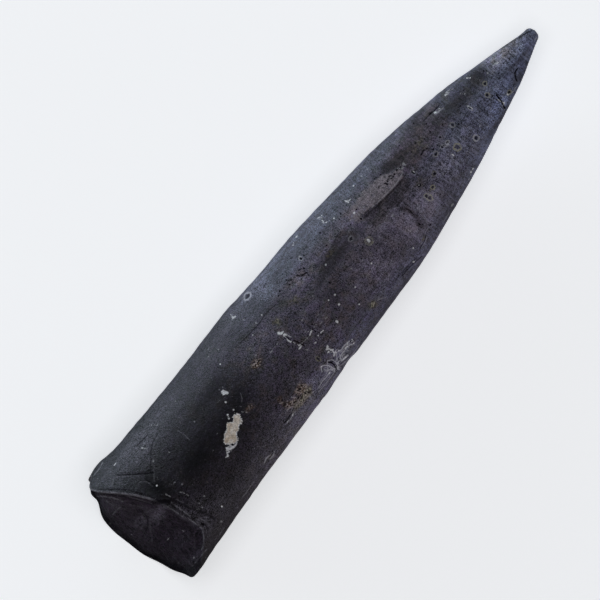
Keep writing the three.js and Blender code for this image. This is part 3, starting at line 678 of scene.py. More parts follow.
def guard_faces():
    """Corner numbers: a fan of triangles at each pole, and rings of four-sided faces between them."""
    rings = FACE_RINGS - 1 + SIDE_RINGS
    ring = 1 + np.arange(rings)[:, None] * AROUND + np.arange(AROUND)
    here, there = ring, np.roll(ring, -1, axis=1)
    quads = np.stack([here[:-1], here[1:], there[1:], there[:-1]], -1).reshape(-1, 4)
    start = np.stack([np.zeros(AROUND, int), here[0], there[0]], -1)
    end = np.stack([here[-1], np.full(AROUND, 1 + rings * AROUND), there[-1]], -1)
    return quads, np.concatenate([start, end])


def spot_fields(name, x, y, spots):
    """Place in the nearest oval spot, in shares of its half sizes, distance to its edge, - inside it, and its
    number. The shares change evenly over the surface, so a spot smaller than a face keeps its shape."""
    edge, number = np.full(x.shape, FAR), np.zeros(x.shape, int)
    along, over = np.zeros(x.shape), np.zeros(x.shape)
    for i, (station, across, length, width) in enumerate(spots):
        u, v = (x - station) / length, (y - across) / width
        distance = (np.hypot(u, v) - 1) * min(length, width)
        nearer = distance < edge
        along, over = np.where(nearer, u, along), np.where(nearer, v, over)
        edge, number = np.where(nearer, distance, edge), np.where(nearer, i, number)
    return {name: edge, name + "_along": along, name + "_over": over}, number


def in_mm(small_spots):
    """Rows of a table of small spots, with their half sizes in millimetres."""
    return [(station, across, length / 100, width / 100) for station, across, length, width in small_spots]


def line_fields(name, x, y, lines):
    """Distance across the nearest line in shares of its half width, distance to its edge, its strength."""
    edge, over, strength = np.full(x.shape, FAR), np.zeros(x.shape), np.zeros(x.shape)
    for half_width, line_strength, _, path in lines:
        distance, across = from_path(x, y, path)
        nearer = distance - half_width < edge
        edge = np.where(nearer, distance - half_width, edge)
        over = np.where(nearer, across / half_width, over)
        strength = np.where(nearer, line_strength, strength)
    return {name: edge, name + "_over": over, name + "_strength": strength}


def marks(x, y, onto_face):
    """The marks as fields over the surface, in mm to the nearest edge or as a strength."""
    borings = np.array(BORINGS)
    boring_fields, boring = spot_fields("boring", x, y, borings[:, :4])
    boring_fields["boring"] = np.where(onto_face < 0, boring_fields["boring"], FAR)
    chip_fields, chip = spot_fields("chip", x, y, in_mm(CHIPS + GRAZES))
    return {
        "onto_face": onto_face,
        "cream": depth_inside(x, y, CREAM_CHIP),
        "pale_skin": depth_inside(x, y, PALE_SKIN),
        "thin_skin": deepest_inside(x, y, THIN_SKINS),
        "dark_flake": deepest_inside(x, y, DARK_FLAKES),
        **line_fields("dark_line", x, y, DARK_LINES),
        **line_fields("pale_line", x, y, PALE_LINES),
        **chip_fields,
        "chip_strength": np.where(chip < len(CHIPS), 1.0, GRAZE_STRENGTH),
        **spot_fields("pit", x, y, in_mm(PITS))[0],
        **boring_fields,
        "pale_rim": borings[boring, 5],
        "rusty_rim": borings[boring, 6],
        "hole": borings[boring, 7],
        "rust": stain(x, y, RUST),
        "crushed": stain(x, y, CRUSHED),
        "shade": stain(x, y, SHADES),
        "film_and_sheen": stain(x, y, FILM_AND_SHEEN),
    }


def new_mesh(name, points, quads, triangles, fields):
    """A mesh in metres in the frame, from whole arrays, with one point attribute for each field."""
    placed = (points + (APEX_X - LENGTH, -SIDE_OFFSET, 0)) * MM
    mesh = bpy.data.meshes.new(name)
    mesh.vertices.add(len(placed))
    mesh.vertices.foreach_set("co", placed.astype(np.float32).ravel())
    corners = np.concatenate([quads.ravel(), triangles.ravel()])
    sizes = np.r_[np.full(len(quads), 4), np.full(len(triangles), 3)]
    mesh.loops.add(len(corners))
    mesh.loops.foreach_set("vertex_index", corners.astype(np.int32))
    mesh.polygons.add(len(sizes))
    mesh.polygons.foreach_set("loop_start", np.r_[0, np.cumsum(sizes)[:-1]].astype(np.int32))
    mesh.polygons.foreach_set("use_smooth", np.ones(len(sizes), bool))
    for field, values in fields.items():
        attribute = mesh.attributes.new(field, "FLOAT", "POINT")
        attribute.data.foreach_set("value", values.astype(np.float32))
    mesh.update(calc_edges=True)
    mesh.validate()
    return mesh


# ---------------------------------------------------------------------------------------------
# Shader arithmetic


def maths(operation, reflected=False):
    """A method that puts a Math node on a value and another one, the other first where it is reflected."""

    def method(self, other=0.0):
        first, second = (other, self) if reflected else (self, other)
        return self.bench.add("ShaderNodeMath", {"operation": operation}, {0: first, 1: second})

    return method


class Value:
    """A socket that adds, subtracts, multiplies and divides like a number, through Math nodes."""

    def __init__(self, bench, socket):
        self.bench = bench
        self.socket = socket

    __add__, __radd__ = maths("ADD"), maths("ADD", reflected=True)
    __sub__, __rsub__ = maths("SUBTRACT"), maths("SUBTRACT", reflected=True)
    __mul__, __rmul__ = maths("MULTIPLY"), maths("MULTIPLY", reflected=True)
    __truediv__, __abs__, root = maths("DIVIDE"), maths("ABSOLUTE"), maths("SQRT")
    larger, smaller = maths("MAXIMUM"), maths("MINIMUM")


class Bench:
    """The cleared node tree of a material or a world, with one way to add a node."""

    def __init__(self, owner):
        owner.use_nodes = True
        self.tree = owner.node_tree
        self.tree.nodes.clear()

    def add(self, kind, settings=None, sockets=None, out=0):
        """A node of a type with its settings, then its sockets' values or links, as one output's value."""
        node = self.tree.nodes.new(kind)
        for key, value in (settings or {}).items():
            setattr(node, key, value)
        for key, value in (sockets or {}).items():
            socket = node.inputs[key]
            if isinstance(value, Value):
                self.tree.links.new(value.socket, socket)
            elif socket.type == "RGBA":
                socket.default_value = (*value, 1.0)
            else:
                socket.default_value = value
        return Value(self, node.outputs[out]) if node.outputs else node

    def axis(self, vector, letter):
        """The X, Y or Z of a vector."""
        return self.add("ShaderNodeSeparateXYZ", {}, {0: vector}, out=letter)

    def moved(self, place, scale=(1, 1, 1), shift=(0, 0, 0)):
        """A place times a scale, plus a shift."""
        return self.add("ShaderNodeMapping", {}, {"Vector": place, "Scale": scale, "Location": shift})

    def field(self, name):
        """A point attribute, as a number."""
        return self.add("ShaderNodeAttribute", {"attribute_name": name}, out="Fac")

    def ramp(self, value, low, high, to_low=0.0, to_high=1.0):
        """to_low at or below low, to_high at or above high, and smooth between them."""
        sockets = {"Value": value, "From Min": low, "From Max": high, "To Min": to_low, "To Max": to_high}
        return self.add("ShaderNodeMapRange", {"interpolation_type": "SMOOTHSTEP"}, sockets)

    def noise(self, place, scale, detail=4.0, rough=0.55, bend=0.0):
        """Noise from 0 to 1, about 0.5, with scale features to a mm."""
        sockets = {"Vector": place, "Scale": scale, "Detail": detail, "Roughness": rough, "Distortion": bend}
        return self.add("ShaderNodeTexNoise", {"noise_dimensions": "3D"}, sockets, out="Fac")

    def clear_of(self, name):
        """Nothing at a mark, and a large number well away from it."""
        return self.ramp(self.field(name), 0.2, 0.35, 0.0, FAR)

    def spot(self, name):
        """Distance from the middle of the nearest oval spot, 1 at its edge; large well away from it."""
        along, over = self.field(name + "_along"), self.field(name + "_over")
        return (along * along + over * over).root() + self.clear_of(name)

    def line(self, name):
        """Distance from the middle of the nearest line, 1 at its edge; large well away from it."""
        return abs(self.field(name + "_over")) + self.clear_of(name)

    def mix(self, share, first, second, blend="MIX"):
        """Colour first where share is 0 and second, blended with it, where it is 1."""
        settings = {"data_type": "RGBA", "blend_type": blend, "clamp_factor": True}
        return self.add("ShaderNodeMix", settings, {0: share, 6: first, 7: second}, out=2)

    def scale(self, colour, level, tint=(1.0, 1.0, 1.0)):
        """The colour times a level, and times a tint."""
        tinted = self.mix(1.0, colour, tint, "MULTIPLY")
        return self.add("ShaderNodeVectorMath", {"operation": "SCALE"}, {0: tinted, "Scale": level})

    def tint(self, share, colour, tint, level=1.0):
        """The colour, times a level and a tint where share is 1."""
        return self.mix(share, colour, self.scale(colour, level, tint))


# ---------------------------------------------------------------------------------------------
# The guard's finish. Each step takes the colour so far and gives the next one; what it knows of a place that
# later steps need, it leaves in at.


def patterns(b):
    """Place on the guard in mm, and the noises that the steps share: grain and crumb run from 0 to 1, and the
    others lie about 0."""
    at = SimpleNamespace()
    metres = b.add("ShaderNodeTexCoord", out="Object")
    at.place = b.moved(metres, (1 / MM,) * 3, (LENGTH - APEX_X, SIDE_OFFSET, 0))
    at.station, at.side = b.axis(at.place, "X"), b.axis(at.place, "Y")
    at.stretched = b.moved(at.place, (0.5, 1, 1))
    at.elsewhere = b.moved(at.place, shift=(40, -25, 60))
    at.cloud = b.noise(at.place, 0.16, 3, 0.5) - 0.5
    at.patchy = b.noise(at.stretched, 0.5, 4, 0.6, 0.6) - 0.5
    at.mottle = b.ramp(b.noise(at.stretched, 1.3, 4, 0.65, 0.4), 0.28, 0.72, -0.5, 0.5)
    at.grain = b.ramp(b.noise(at.place, 2.6, 2, 0.7), 0.3, 0.7)
    at.crumb = b.ramp(b.noise(at.place, 5.2, 1, 0.6), 0.3, 0.7)
    at.grit = b.noise(at.place, 2.2, 2, 0.6) - 0.5
    at.fine = b.noise(at.elsewhere, 3.6, 2, 0.6) - 0.5
    at.finest = b.noise(at.place, 7.4, 1, 0.5) - 0.5
    combed = b.moved(at.place, (3.6, 0.5, 0.5))
    at.streaks = (b.noise(combed, 1, 2, 0.6) - 0.5) * b.ramp(at.station, 28, 66, 0, 1.5)
    at.rust = b.field("rust")
    at.onto_face = b.field("onto_face")
    return at


def weathered(b, at, colours):
    """Near black at the break and greyer towards the apex, with browner, more violet, greener and bluer
    patches, and a blue-grey bloom with its dust on the +Y flank, which is partly painted sheen where the
    light falls on that flank."""
    at.age = b.ramp(at.station + 14 * at.cloud + 3 * at.patchy, 6, 54)
    colour = b.mix(at.age, colours.ink, colours.slate)
    colour = b.mix(b.ramp(at.station, 56, 84), colour, colours.ash)

    warm_or_violet = b.noise(at.place, 0.7, 1, 0.5, 0.5)
    mossy = b.noise(at.elsewhere, 0.8, 1, 0.5, 0.5)
    upper = b.ramp(at.side, 6.5, 4.5)
    subtle = b.ramp(at.station, 42, 54, 1, 0.45).larger(b.ramp(at.side, 0, 2))
    colour = b.tint(b.ramp(warm_or_violet, 0.5, 0.66) * upper * subtle, colour, colours.warmth)
    colour = b.tint(b.ramp(warm_or_violet, 0.5, 0.34) * subtle, colour, colours.violet)
    colour = b.tint(b.ramp(mossy, 0.52, 0.68) * subtle, colour, colours.moss)

    flank = at.side - (0.35 * (at.station - 68)).larger(0).smaller(4.3)
    cool = b.ramp(flank + 1.5 * at.patchy, -3.5, -6.5) * b.ramp(at.station, 20, 36)
    colour = b.tint(cool, colour, colours.cool)
    at.brown = b.ramp(at.station, 61, 66) * b.ramp(at.station, 75, 71)
    at.brown = at.brown * b.ramp(at.side + 2 * at.patchy, 0.6, 2.4) * upper
    colour = b.tint(at.brown, colour, colours.chestnut)
    dusty = b.ramp(at.station, 80, 83) * b.ramp(at.side, 0.6, 1.6)
    colour = b.tint(0.8 * dusty, colour, colours.warmth, 1.12)

    # Partly painted sheen: the +Y flank is lightened and blued where the light falls on it, besides a real
    # blue-grey bloom.
    bloom_and_sheen = b.ramp(at.side + 1.6 * at.patchy, 4.8, 6.4) * b.ramp(at.mottle, -0.5, 0.4, 0.5, 1)
    bloom_and_sheen = bloom_and_sheen * b.ramp(at.station - 0.6 * at.side + 5 * at.patchy, 25, 37) * b.ramp(at.station, 72, 56)
    colour = b.mix(0.7 * bloom_and_sheen, colour, colours.bloom_and_sheen)
    # Partly painted sheen: a grainy lightening of the +Y flank near the break, where the light falls, besides
    # real dust.
    dust_and_sheen = b.ramp(at.crumb + 0.5 * at.grain, 0.7, 1.4) * b.ramp(at.station, 45, 30)
    dust_and_sheen = dust_and_sheen * b.ramp(at.side + 2 * at.patchy, 4.4, 8)
    return b.mix(0.25 * dust_and_sheen, colour, colours.bloom_and_sheen)


def layered(b, at, colours, colour):
    """The bare dark layer, the grain, lights and darks of the surface, partly painted light and shade along
    the limbs and the broken face's edge, and what is left of the pale skin.
    """
    at.flake = b.ramp(b.field("dark_flake") + at.grit, -0.1, 0.1)
    colour = b.mix(0.62 * at.flake, colour, colours.umber)
    # Partly painted light and shade: the shade table darkens the lower limbs and the broken face's edge and
    # lightens the upper +Y edge, besides the stone's own patches.
    at.shade = b.field("shade") * b.ramp(at.patchy + 0.15 * at.mottle, -0.25, 0.1, 0.55, 1.1)
    at.shading = (1 - 0.6 * at.shade).larger(0.12)
    thin = b.ramp(b.field("thin_skin") + 0.8 * at.grit, -0.06, 0.08)
    texture = (2.3 * at.fine + 5.4 * at.finest) * b.ramp(at.station, 44, 26, 1, 1.5)
    texture = texture * b.ramp(at.station, 78, 84, 1, 0.7)
    level = 1 + 0.7 * at.mottle + 1.3 * at.patchy * b.ramp(at.station, 62, 80, 1, 2) + 0.4 * thin
    level = level + texture + 1.9 * at.streaks + at.brown * (0.5 * at.mottle + 1.5 * at.grit)
    level = level.larger(0.15)
    colour = b.scale(colour, level * at.shading)
    colour = b.mix(0.4 * at.shade * b.ramp(at.station, 28, 40), colour, b.scale(colours.umber, level))

    uneven = b.ramp(at.mottle + at.grain - 0.08 * (58 - at.station).larger(0), -0.2, 0.4, 0.25, 1)
    at.skin = b.ramp(b.field("pale_skin") + 0.9 * at.grit, -0.08, 0.08) * uneven
    level = b.ramp(at.station, 56, 63, 1.02, 1.12) + 0.4 * at.mottle + 1.6 * at.fine + 3.6 * at.finest
    return b.mix(0.9 * at.skin, colour, b.scale(colours.mauve, level + 1.2 * at.streaks))


def broken(b, at, colours, colour):
    """The broken face with fibres that run out from its heart, a dusty film on it and beside it that is
    partly painted sheen, and the rubbed rim, partly a painted highlight that is brighter on the +Y half, with
    painted shadow in a groove on either side."""
    at.face = b.ramp(at.onto_face, -0.05, 0.12)
    heart_across, heart_height = on_axis(HEART)
    out, at.up = at.side - heart_across, b.axis(at.place, "Z") - heart_height
    radius = (out * out + at.up * at.up).root().larger(0.1)
    turn = b.add("ShaderNodeCombineXYZ", {}, {0: 7 * out / radius, 1: 7 * at.up / radius, 2: 0.3 * radius})
    fibres = (b.noise(turn, 1, 3, 0.6) - 0.5) * b.ramp(radius, 0.5, 3)
    level = 1 + 1.2 * at.mottle + 1.4 * fibres + 4.5 * at.fine + 9 * at.finest
    colour = b.mix(at.face, colour, b.scale(colours.fracture, level.larger(0.1) * at.shading))

    # Partly painted sheen: the film also lightens the +Y flank near the break and the face's bulge, where the
    # light falls.
    powder = (0.45 + 0.7 * at.mottle + 1.2 * at.patchy + 3 * at.fine + 6 * at.finest).larger(0)
    film_and_sheen = (b.field("film_and_sheen") + 0.1).smaller(1.4) * powder * b.ramp(at.station, 44, 34)
    colour = b.mix(0.27 * film_and_sheen, colour, colours.film_and_sheen)

    # The rim's painted highlight is wider and brighter on the +Y half, where the light falls.
    ridge = b.ramp(at.side, 0.4, 1.6)
    short_of_end = b.ramp(at.station, 1.6, 2.6)
    # Painted shadow: dark bands half a millimetre to either side of the rim, where the grooves beside it lie
    # in shade.
    groove_shadow = b.ramp(abs(abs(at.onto_face) - 0.5), 0.22, 0.05) * b.ramp(at.side, -0.6, 0.8) * short_of_end
    colour = b.mix(0.7 * groove_shadow, colour, colours.ink)
    # Partly painted highlight: a pale line along the rim, both rubbed calcite and the light caught on its
    # edge.
    wear_and_highlight = b.ramp(abs(at.onto_face - 0.04) + 0.3 * at.grit - (0.13 + 0.11 * ridge), 0.1, -0.06)
    wear_and_highlight = wear_and_highlight * b.ramp(at.grain, 0, 0.6, 0.5, 1) * b.ramp(at.side, -9.4, -8.4) * short_of_end
    return b.mix(wear_and_highlight * (0.45 + 0.55 * ridge), colour, colours.worn_edge_and_highlight)


def stained(b, at, colours, colour):
    """Rust-brown stains, green-brown towards the apex and the -Y flank, with a crust of ochre crumbs and
    cream granules where they are rich."""
    olive = b.ramp(at.station, 33, 36).larger(b.ramp(at.side, -5.4, -6))
    at.stain = b.ramp(at.rust + 0.5 * at.mottle + 0.4 * (at.grain - 0.5), 0.25, 0.85)
    stain_colour = b.mix(0.7 * olive, colours.rust, colours.lichen)
    colour = b.mix(0.85 * at.stain, colour, b.scale(stain_colour, (0.8 + 7 * at.fine).larger(0.15)))
    at.rich = b.ramp(at.rust, 0.5, 1, 0.2, 1)
    crusty = b.ramp(at.rust + 2 * at.grit + at.patchy, 0.3, 0.8) * at.rich
    crumbs = b.ramp(b.noise(at.place, 3.4, 2, 0.6) + 0.08 * at.rust.smaller(1.2), 0.54, 0.68) * crusty
    colour = b.mix(0.55 * crumbs, colour, b.mix(olive, colours.ochre, colours.olive))
    grains = b.noise(at.elsewhere, 4.2, 1, 0.5) + 0.3 * at.patchy
    at.gaps = b.ramp(grains, 0.46, 0.38) * crusty
    granule = b.tint(olive, colours.granule, colours.moss)
    return b.mix(0.85 * b.ramp(grains, 0.52, 0.6) * crusty, colour, granule)


def marked(b, at, colours, colour):
    """Crushed stone, scratches, cracks, pits, borings and chips with ragged edges, fine specks and dots, then
    the limestone of the largest chip."""
    ragged = 1.2 * at.grit + 0.5 * (at.crumb - 0.5)
    torn = b.noise(at.stretched, 3.4, 2, 0.65, 1.6)
    crushed = b.ramp(torn + 0.2 * (b.field("crushed").smaller(1) - 1), 0.46, 0.6)
    at.dark_line = b.ramp(b.line("dark_line") + 0.8 * ragged, 1.4, 0.5) * b.field("dark_line_strength")
    paleness = b.field("pale_line_strength")
    whole = b.ramp(b.noise(at.place, 1.5, 2) + 0.25 * paleness, 0.42, 0.56, 0.2, 1)
    pale_line = b.ramp(b.line("pale_line") + 1.1 * ragged, 1.5, 0.6) * paleness * whole
    at.pit = b.ramp(b.spot("pit") + 0.8 * ragged, 1.2, 0.7)
    boring = b.spot("boring") + 0.6 * ragged
    rim = b.ramp(abs(boring - 1.1), 0.42, 0.12) * b.ramp(at.grain, 0.1, 0.6, 0.35, 1)
    at.hole = b.ramp(boring, 0.85, 0.5) * b.field("hole")
    at.chip = b.ramp(b.spot("chip") + 0.8 * ragged, 1.2, 0.85) * b.ramp(at.crumb, 0, 0.6, 0.6, 1)
    at.chip = at.chip * b.field("chip_strength")

    cells = {"Vector": at.place, "Scale": 0.9}
    from_middle = b.add("ShaderNodeTexVoronoi", {}, cells, out="Distance")
    draw = b.add("ShaderNodeSeparateColor", {}, {0: b.add("ShaderNodeTexVoronoi", {}, cells, out="Color")})
    at.speck = b.ramp(from_middle - 0.12 * b.ramp(draw, 0.75, 1), 0.03, -0.03) * b.ramp(draw, 0.74, 0.78)
    at.dot = b.ramp(from_middle - 0.13 * b.ramp(draw, 0.26, 0), 0.04, -0.02) * b.ramp(draw, 0.28, 0.24)

    at.chalk = pale_line.larger(crushed * (0.5 + 0.3 * at.rich))
    at.chalk = at.chalk.larger(rim * b.field("pale_rim")).larger(0.3 * at.speck)
    colour = b.mix(at.chalk, colour, b.mix(b.ramp(at.rust, 0.2, 0.7), colours.chalk, colours.granule))
    colour = b.mix(0.8 * rim * b.field("rusty_rim"), colour, colours.olive)
    # Partly painted shade: holes, pits, dots and the gaps between granules are darkened to ink as hollows in
    # shade, besides the stone's own dark.
    at.sunk = (0.9 * at.hole).larger(0.95 * at.pit).larger(0.6 * at.dot).larger(0.7 * at.gaps)
    colour = b.mix(0.9 * at.sunk, colour, colours.ink)
    colour = b.mix(0.95 * at.chip, colour, colours.chip)
    at.sunk = at.sunk.larger(at.dark_line)
    colour = b.mix(0.95 * at.dark_line, colour, colours.ink)

    inside = b.field("cream")
    at.cream = b.ramp(inside + 0.3 * ragged, -0.04, 0.03)
    clean = b.ramp(b.noise(at.place, 1.5, 3) - 0.25 * at.rust, 0.3, 0.6)
    limestone = b.mix(clean, colours.cream_shade, colours.cream)
    limestone = b.mix(0.7 * b.ramp(inside + 0.6 * at.grit, 0.22, 0.04), limestone, colours.chip)
    return b.mix(at.cream, colour, b.scale(limestone, 1 + 0.8 * at.fine + 1.4 * at.finest))


def calcite(name, colours, sizes):
    """Dark calcite. The lower side of the broken face is painted shade in ink, and sunken places, that side
    and the face's -Y half are partly black metal, which has no gleam, so that the lights don't brighten them."""
    material = bpy.data.materials.new(name)
    b = Bench(material)
    at = patterns(b)
    colour = weathered(b, at, colours)
    for step in (layered, broken, stained, marked):
        colour = step(b, at, colours, colour)

    # Painted shade: the lower side of the broken face, near its rim, darkened to ink.
    shade_under_face = at.face * b.ramp(at.onto_face + 1.5 * at.patchy, 2.2, 0.4) * b.ramp(at.up, -2, -4)
    colour = b.mix(0.6 * shade_under_face, colour, colours.ink)
    # Painted shade: sunken places, the lower side and the -Y half of the broken face are partly black metal,
    # so that no light brightens them.
    black = (0.9 * at.sunk).larger(0.8 * shade_under_face).larger(0.3 * at.face * b.ramp(at.side, 0, -3))
    black = black * (1 - at.chip.larger(at.cream))
    dull = at.cream.larger(at.chip).larger(at.chalk).larger(0.7 * at.stain)
    dull = (0.35 * dull.larger(0.5 * at.skin).larger(0.5 * at.face)).larger(0.6 * at.sunk)
    dull = dull.larger(0.4 * at.flake).larger(0.3 * at.shade)
    rough = 0.38 + 0.08 * at.age + 0.18 * (at.grain - 0.5) + 0.6 * at.fine + at.finest + dull
    rough = rough + at.face * (0.12 * at.mottle + 0.6 * at.fine)
    height = 0.03 * at.mottle + 0.05 * at.grain + 0.04 * at.crumb
    height = height + 0.02 * at.speck + 0.04 * at.chalk + 0.03 * at.chip
    height = height - 0.1 * at.dark_line - 0.06 * at.pit - 0.1 * at.hole - 0.04 * at.dot
    bump = b.add("ShaderNodeBump", {}, {"Height": height, "Distance": sizes.grain_height, "Strength": 1.0})
    sockets = {"Base Color": colour, "Roughness": rough, "Metallic": black, "Normal": bump}
    b.add("ShaderNodeOutputMaterial", {}, {"Surface": b.add("ShaderNodeBsdfPrincipled", {}, sockets)})
    return material


# ---------------------------------------------------------------------------------------------
# The stage

FLOOR_HALF_WIDTH = 4.0
# Of each light: place, size and colour.
KEY = ((0.0, 0.62, 0.105), (1.0, 0.21), (0.8, 0.9, 1.0))
OVERHEAD = ((0.0, 0.0, 3.0), (2.2, 2.2), (0.97, 0.97, 1.0))
LIT = Vector((0, 0, 0.008))  # what the lights are turned towards
AIM = Vector((-0.00413, 0.00233, 0.008))  # what the camera is right above
ROLL = math.radians(-51.6)


def add_floor(scene, stage):
    """A large pale square on the ground, which glows a little."""
    mesh = bpy.data.meshes.new("floor")
    h = FLOOR_HALF_WIDTH
    mesh.from_pydata([(-h, -h, 0), (h, -h, 0), (h, h, 0), (-h, h, 0)], [], [(0, 1, 2, 3)])
    material = bpy.data.materials.new("floor")
    b = Bench(material)
    sockets = {"Base Color": stage.floor, "Roughness": 0.9}
    sockets.update({"Emission Color": stage.floor, "Emission Strength": stage.floor_glow})
    b.add("ShaderNodeOutputMaterial", {}, {"Surface": b.add("ShaderNodeBsdfPrincipled", {}, sockets)})
    mesh.materials.append(material)
    floor = bpy.data.objects.new("floor", mesh)
    floor.visible_glossy = False
    scene.collection.objects.link(floor)


def add_room(scene, stage):
    """A room that is bright near the horizon on the +Y side, and dim overhead and behind the break."""
    world = bpy.data.worlds.new("room")
    b = Bench(world)
    direction = b.add("ShaderNodeTexCoord", out="Generated")
    ahead, side, up = (b.axis(direction, letter) for letter in "XYZ")
    low = b.ramp(up, 0.42, 0.2) * b.ramp(up, -1, -0.2)
    level = stage.zenith + low * b.ramp(side, -0.3, 0.5, stage.fill, stage.horizon)
    level = level * b.ramp(ahead, -0.75, -0.25, 0.12, 1)
    tone = b.mix(b.ramp(side, -0.3, 0.3), (1.0, 0.93, 0.98), (0.76, 0.91, 1.0))
    background = b.add("ShaderNodeBackground", {}, {"Color": tone, "Strength": level})
    b.add("ShaderNodeOutputWorld", {}, {"Surface": background})
    scene.world = world


def add_area_light(scene, name, power, place, size, colour):
    """A soft rectangular light at a place, turned towards the guard."""
    light = bpy.data.lights.new(name, "AREA")
    light.shape = "RECTANGLE"
    light.size, light.size_y = size
    light.energy = power
    light.color = colour
    lamp = bpy.data.objects.new(name, light)
    lamp.location = place
    lamp.rotation_euler = (LIT - lamp.location).to_track_quat("-Z", "Y").to_euler()
    scene.collection.objects.link(lamp)
    return lamp


def add_camera(scene, stage):
    """Straight down, from where view_width fills the picture, turned so that the apex points up and right."""
    camera = bpy.data.cameras.new("camera")
    camera.lens = stage.lens
    distance = stage.view_width * camera.lens / camera.sensor_width
    camera.clip_start, camera.clip_end = 0.01, 20
    eye = bpy.data.objects.new("camera", camera)
    eye.location = AIM + Vector((0, 0, distance))
    eye.rotation_euler = (0, 0, ROLL)
    scene.collection.objects.link(eye)
    scene.camera = eye


# ---------------------------------------------------------------------------------------------
# Settings, operators and panel


def colour_setting(name, description, default):
    return bpy.props.FloatVectorProperty(
        name=name, description=description, default=default, subtype="COLOR", size=3, min=0, max=2
    )


def number_setting(name, description, default, unit="NONE", least=0.0, precision=3):
    return bpy.props.FloatProperty(
        name=name, description=description, default=default, min=least, precision=precision, unit=unit
    )


def length_setting(name, description, default):
    return number_setting(name, description, default, "LENGTH", precision=6)


class GuardSizes(bpy.types.PropertyGroup):
    """Sizes of the guard's fine relief"""

    ring_spacing: length_setting("Growth ring spacing", "From ring to ring on the broken face", 1.25 * MM)
    ring_height: length_setting("Growth ring height", "Of the rings on the broken face", 0.035 * MM)
    rim_wear: length_setting("Rim wear", "How far the edge of the broken face is rubbed down", 0.05 * MM)
    grain_height: length_setting("Grain height", "What the finest roughness stands for", 1.0 * MM)


class StoneColours(bpy.types.PropertyGroup):
    """Colours of the calcite, and tints, which multiply the colour that is there"""

    ink: colour_setting("Ink", "The blackest calcite, near the break", (0.0105, 0.008, 0.0122))
    slate: colour_setting("Slate", "Weathered calcite, half way along", (0.096, 0.085, 0.118))
    ash: colour_setting("Ash", "Weathered calcite, at the apex", (0.148, 0.16, 0.235))
    # Partly painted sheen: the film's grey also stands for light falling on the +Y flank near the break.
    film_and_sheen: colour_setting("Film", "Dusty film over the black calcite", (0.28, 0.265, 0.335))
    # Partly painted sheen: the blue-grey of the real bloom and of the light that falls on the +Y flank.
    bloom_and_sheen: colour_setting("Bloom", "Blue-grey bloom on the +Y flank", (0.1, 0.112, 0.155))
    warmth: colour_setting("Warmth", "What tints the browner patches", (1.0, 0.9, 0.78))
    violet: colour_setting("Violet", "What tints the more violet patches", (1.0, 0.93, 1.04))
    chestnut: colour_setting("Chestnut", "What tints the browned upper side", (1.17, 0.94, 0.93))
    moss: colour_setting("Moss", "What tints the greener patches", (0.9, 0.97, 0.84))
    cool: colour_setting("Cool", "What tints the -Y flank", (0.92, 1.0, 1.16))
    umber: colour_setting("Umber", "Brown-black layer below the skin", (0.045, 0.037, 0.042))
    mauve: colour_setting("Mauve", "Pale skin left on the upper side", (0.2, 0.17, 0.19))
    fracture: colour_setting("Fracture", "Calcite of the broken face", (0.0215, 0.0125, 0.024))
    # Partly painted highlight: the pale of the rubbed rim and of the light caught on its edge.
    worn_edge_and_highlight: colour_setting("Worn edge", "Rubbed calcite along the broken rim", (0.17, 0.16, 0.185))
    rust: colour_setting("Rust", "Iron stain", (0.06, 0.036, 0.028))
    lichen: colour_setting("Green stain", "Stain nearer the apex", (0.085, 0.08, 0.05))
    ochre: colour_setting("Ochre", "Crumbs of iron ochre", (0.27, 0.19, 0.12))
    olive: colour_setting("Olive", "Crumbs of ochre nearer the apex, and rims of borings", (0.36, 0.34, 0.21))
    chalk: colour_setting("Chalk", "Powdery white of scratches", (0.66, 0.65, 0.72))
    chip: colour_setting("Chip", "Fresh white of a small chip", (0.92, 0.92, 0.95))
    granule: colour_setting("Granule", "Cream granules among the ochre", (0.56, 0.47, 0.45))
    cream: colour_setting("Cream", "Limestone in the largest chip", (0.9, 0.83, 0.74))
    cream_shade: colour_setting("Cream shade", "Darker limestone in the largest chip", (0.68, 0.57, 0.45))


class StageSettings(bpy.types.PropertyGroup):
    """Floor, room, lights and camera"""

    floor: colour_setting("Floor", "The plain pale floor", (0.86, 0.87, 0.88))
    floor_glow: number_setting("Floor glow", "How far the floor is lit from below, as on a light table", 0.62)
    horizon: number_setting("Horizon", "Brightness of the room near the horizon, on the +Y side", 1.0)
    fill: number_setting("Fill", "Brightness of the room near the horizon, on the -Y side", 0.25)
    zenith: number_setting("Zenith", "Brightness of the room overhead", 0.05)
    key_power: number_setting("Key light", "Power of the soft light on the +Y side", 1.05, "POWER")
    overhead_power: number_setting("Overhead light", "Power of the soft light overhead", 31.0, "POWER")
    lens: number_setting("Lens", "Focal length of the camera", 1000, "CAMERA", least=1)
    view_width: number_setting("View width", "Width that the picture spans", 0.08244, "LENGTH", 0.01, 5)


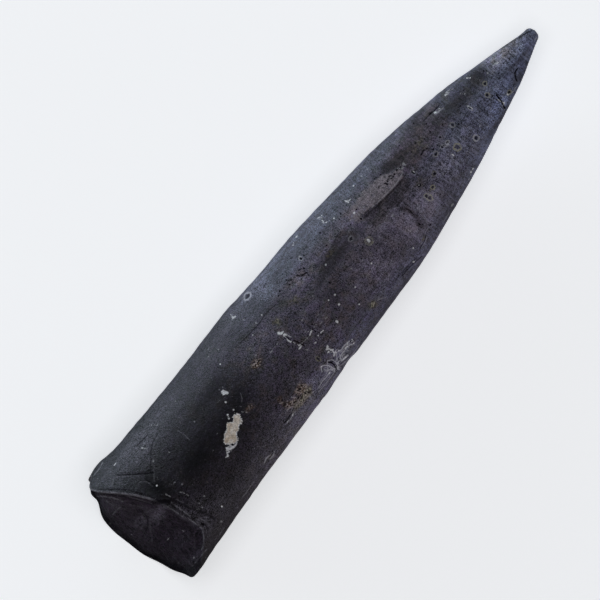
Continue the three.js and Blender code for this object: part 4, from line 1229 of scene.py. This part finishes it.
class BELEMNITE_OT_guard(bpy.types.Operator):
    """Build the guard with its calcite finish"""

    bl_idname = "belemnite.guard"
    bl_label = "Guard"

    def execute(self, context):
        scene = context.scene
        points, x, y, onto_face = guard_grid(scene.belemnite_sizes)
        mesh = new_mesh("guard_surface", points, *guard_faces(), marks(x, y, onto_face))
        mesh.materials.append(calcite("calcite", scene.belemnite_colours, scene.belemnite_sizes))
        guard = bpy.data.objects.new("guard_surface", mesh)
        scene.collection.objects.link(guard)
        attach(guard, "root")
        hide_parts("guard")
        return {"FINISHED"}


class BELEMNITE_OT_stage(bpy.types.Operator):
    """Build the floor, the lights, the room and the camera"""

    bl_idname = "belemnite.stage"
    bl_label = "Stage"

    def execute(self, context):
        stage = context.scene.belemnite_stage
        add_floor(context.scene, stage)
        add_room(context.scene, stage)
        add_area_light(context.scene, "key", stage.key_power, *KEY)
        overhead = add_area_light(context.scene, "overhead", stage.overhead_power, *OVERHEAD)
        overhead.visible_glossy = False
        add_camera(context.scene, stage)
        context.scene.view_settings.view_transform = "Standard"
        return {"FINISHED"}


class BELEMNITE_PT_panel(bpy.types.Panel):
    """All settings, and a button for each operator"""

    bl_label = "Belemnite"
    bl_idname = "BELEMNITE_PT_panel"
    bl_space_type = "VIEW_3D"
    bl_region_type = "UI"
    bl_category = "Belemnite"

    def draw(self, context):
        for name, group in GROUPS.items():
            box = self.layout.box()
            for setting in group.__annotations__:
                box.prop(getattr(context.scene, name), setting)
        for operator in OPERATORS:
            self.layout.operator(operator.bl_idname)


OPERATORS = (BELEMNITE_OT_guard, BELEMNITE_OT_stage)
GROUPS = {"belemnite_sizes": GuardSizes, "belemnite_colours": StoneColours, "belemnite_stage": StageSettings}
CLASSES = (*GROUPS.values(), *OPERATORS, BELEMNITE_PT_panel)


def register():
    for cls in CLASSES:
        bpy.utils.register_class(cls)
    for name, group in GROUPS.items():
        setattr(bpy.types.Scene, name, bpy.props.PointerProperty(type=group))


def unregister():
    for name in GROUPS:
        delattr(bpy.types.Scene, name)
    for cls in reversed(CLASSES):
        bpy.utils.unregister_class(cls)


def main():
    register()
    bpy.ops.belemnite.guard()
    bpy.ops.belemnite.stage()


if __name__ == "__main__":
    main()
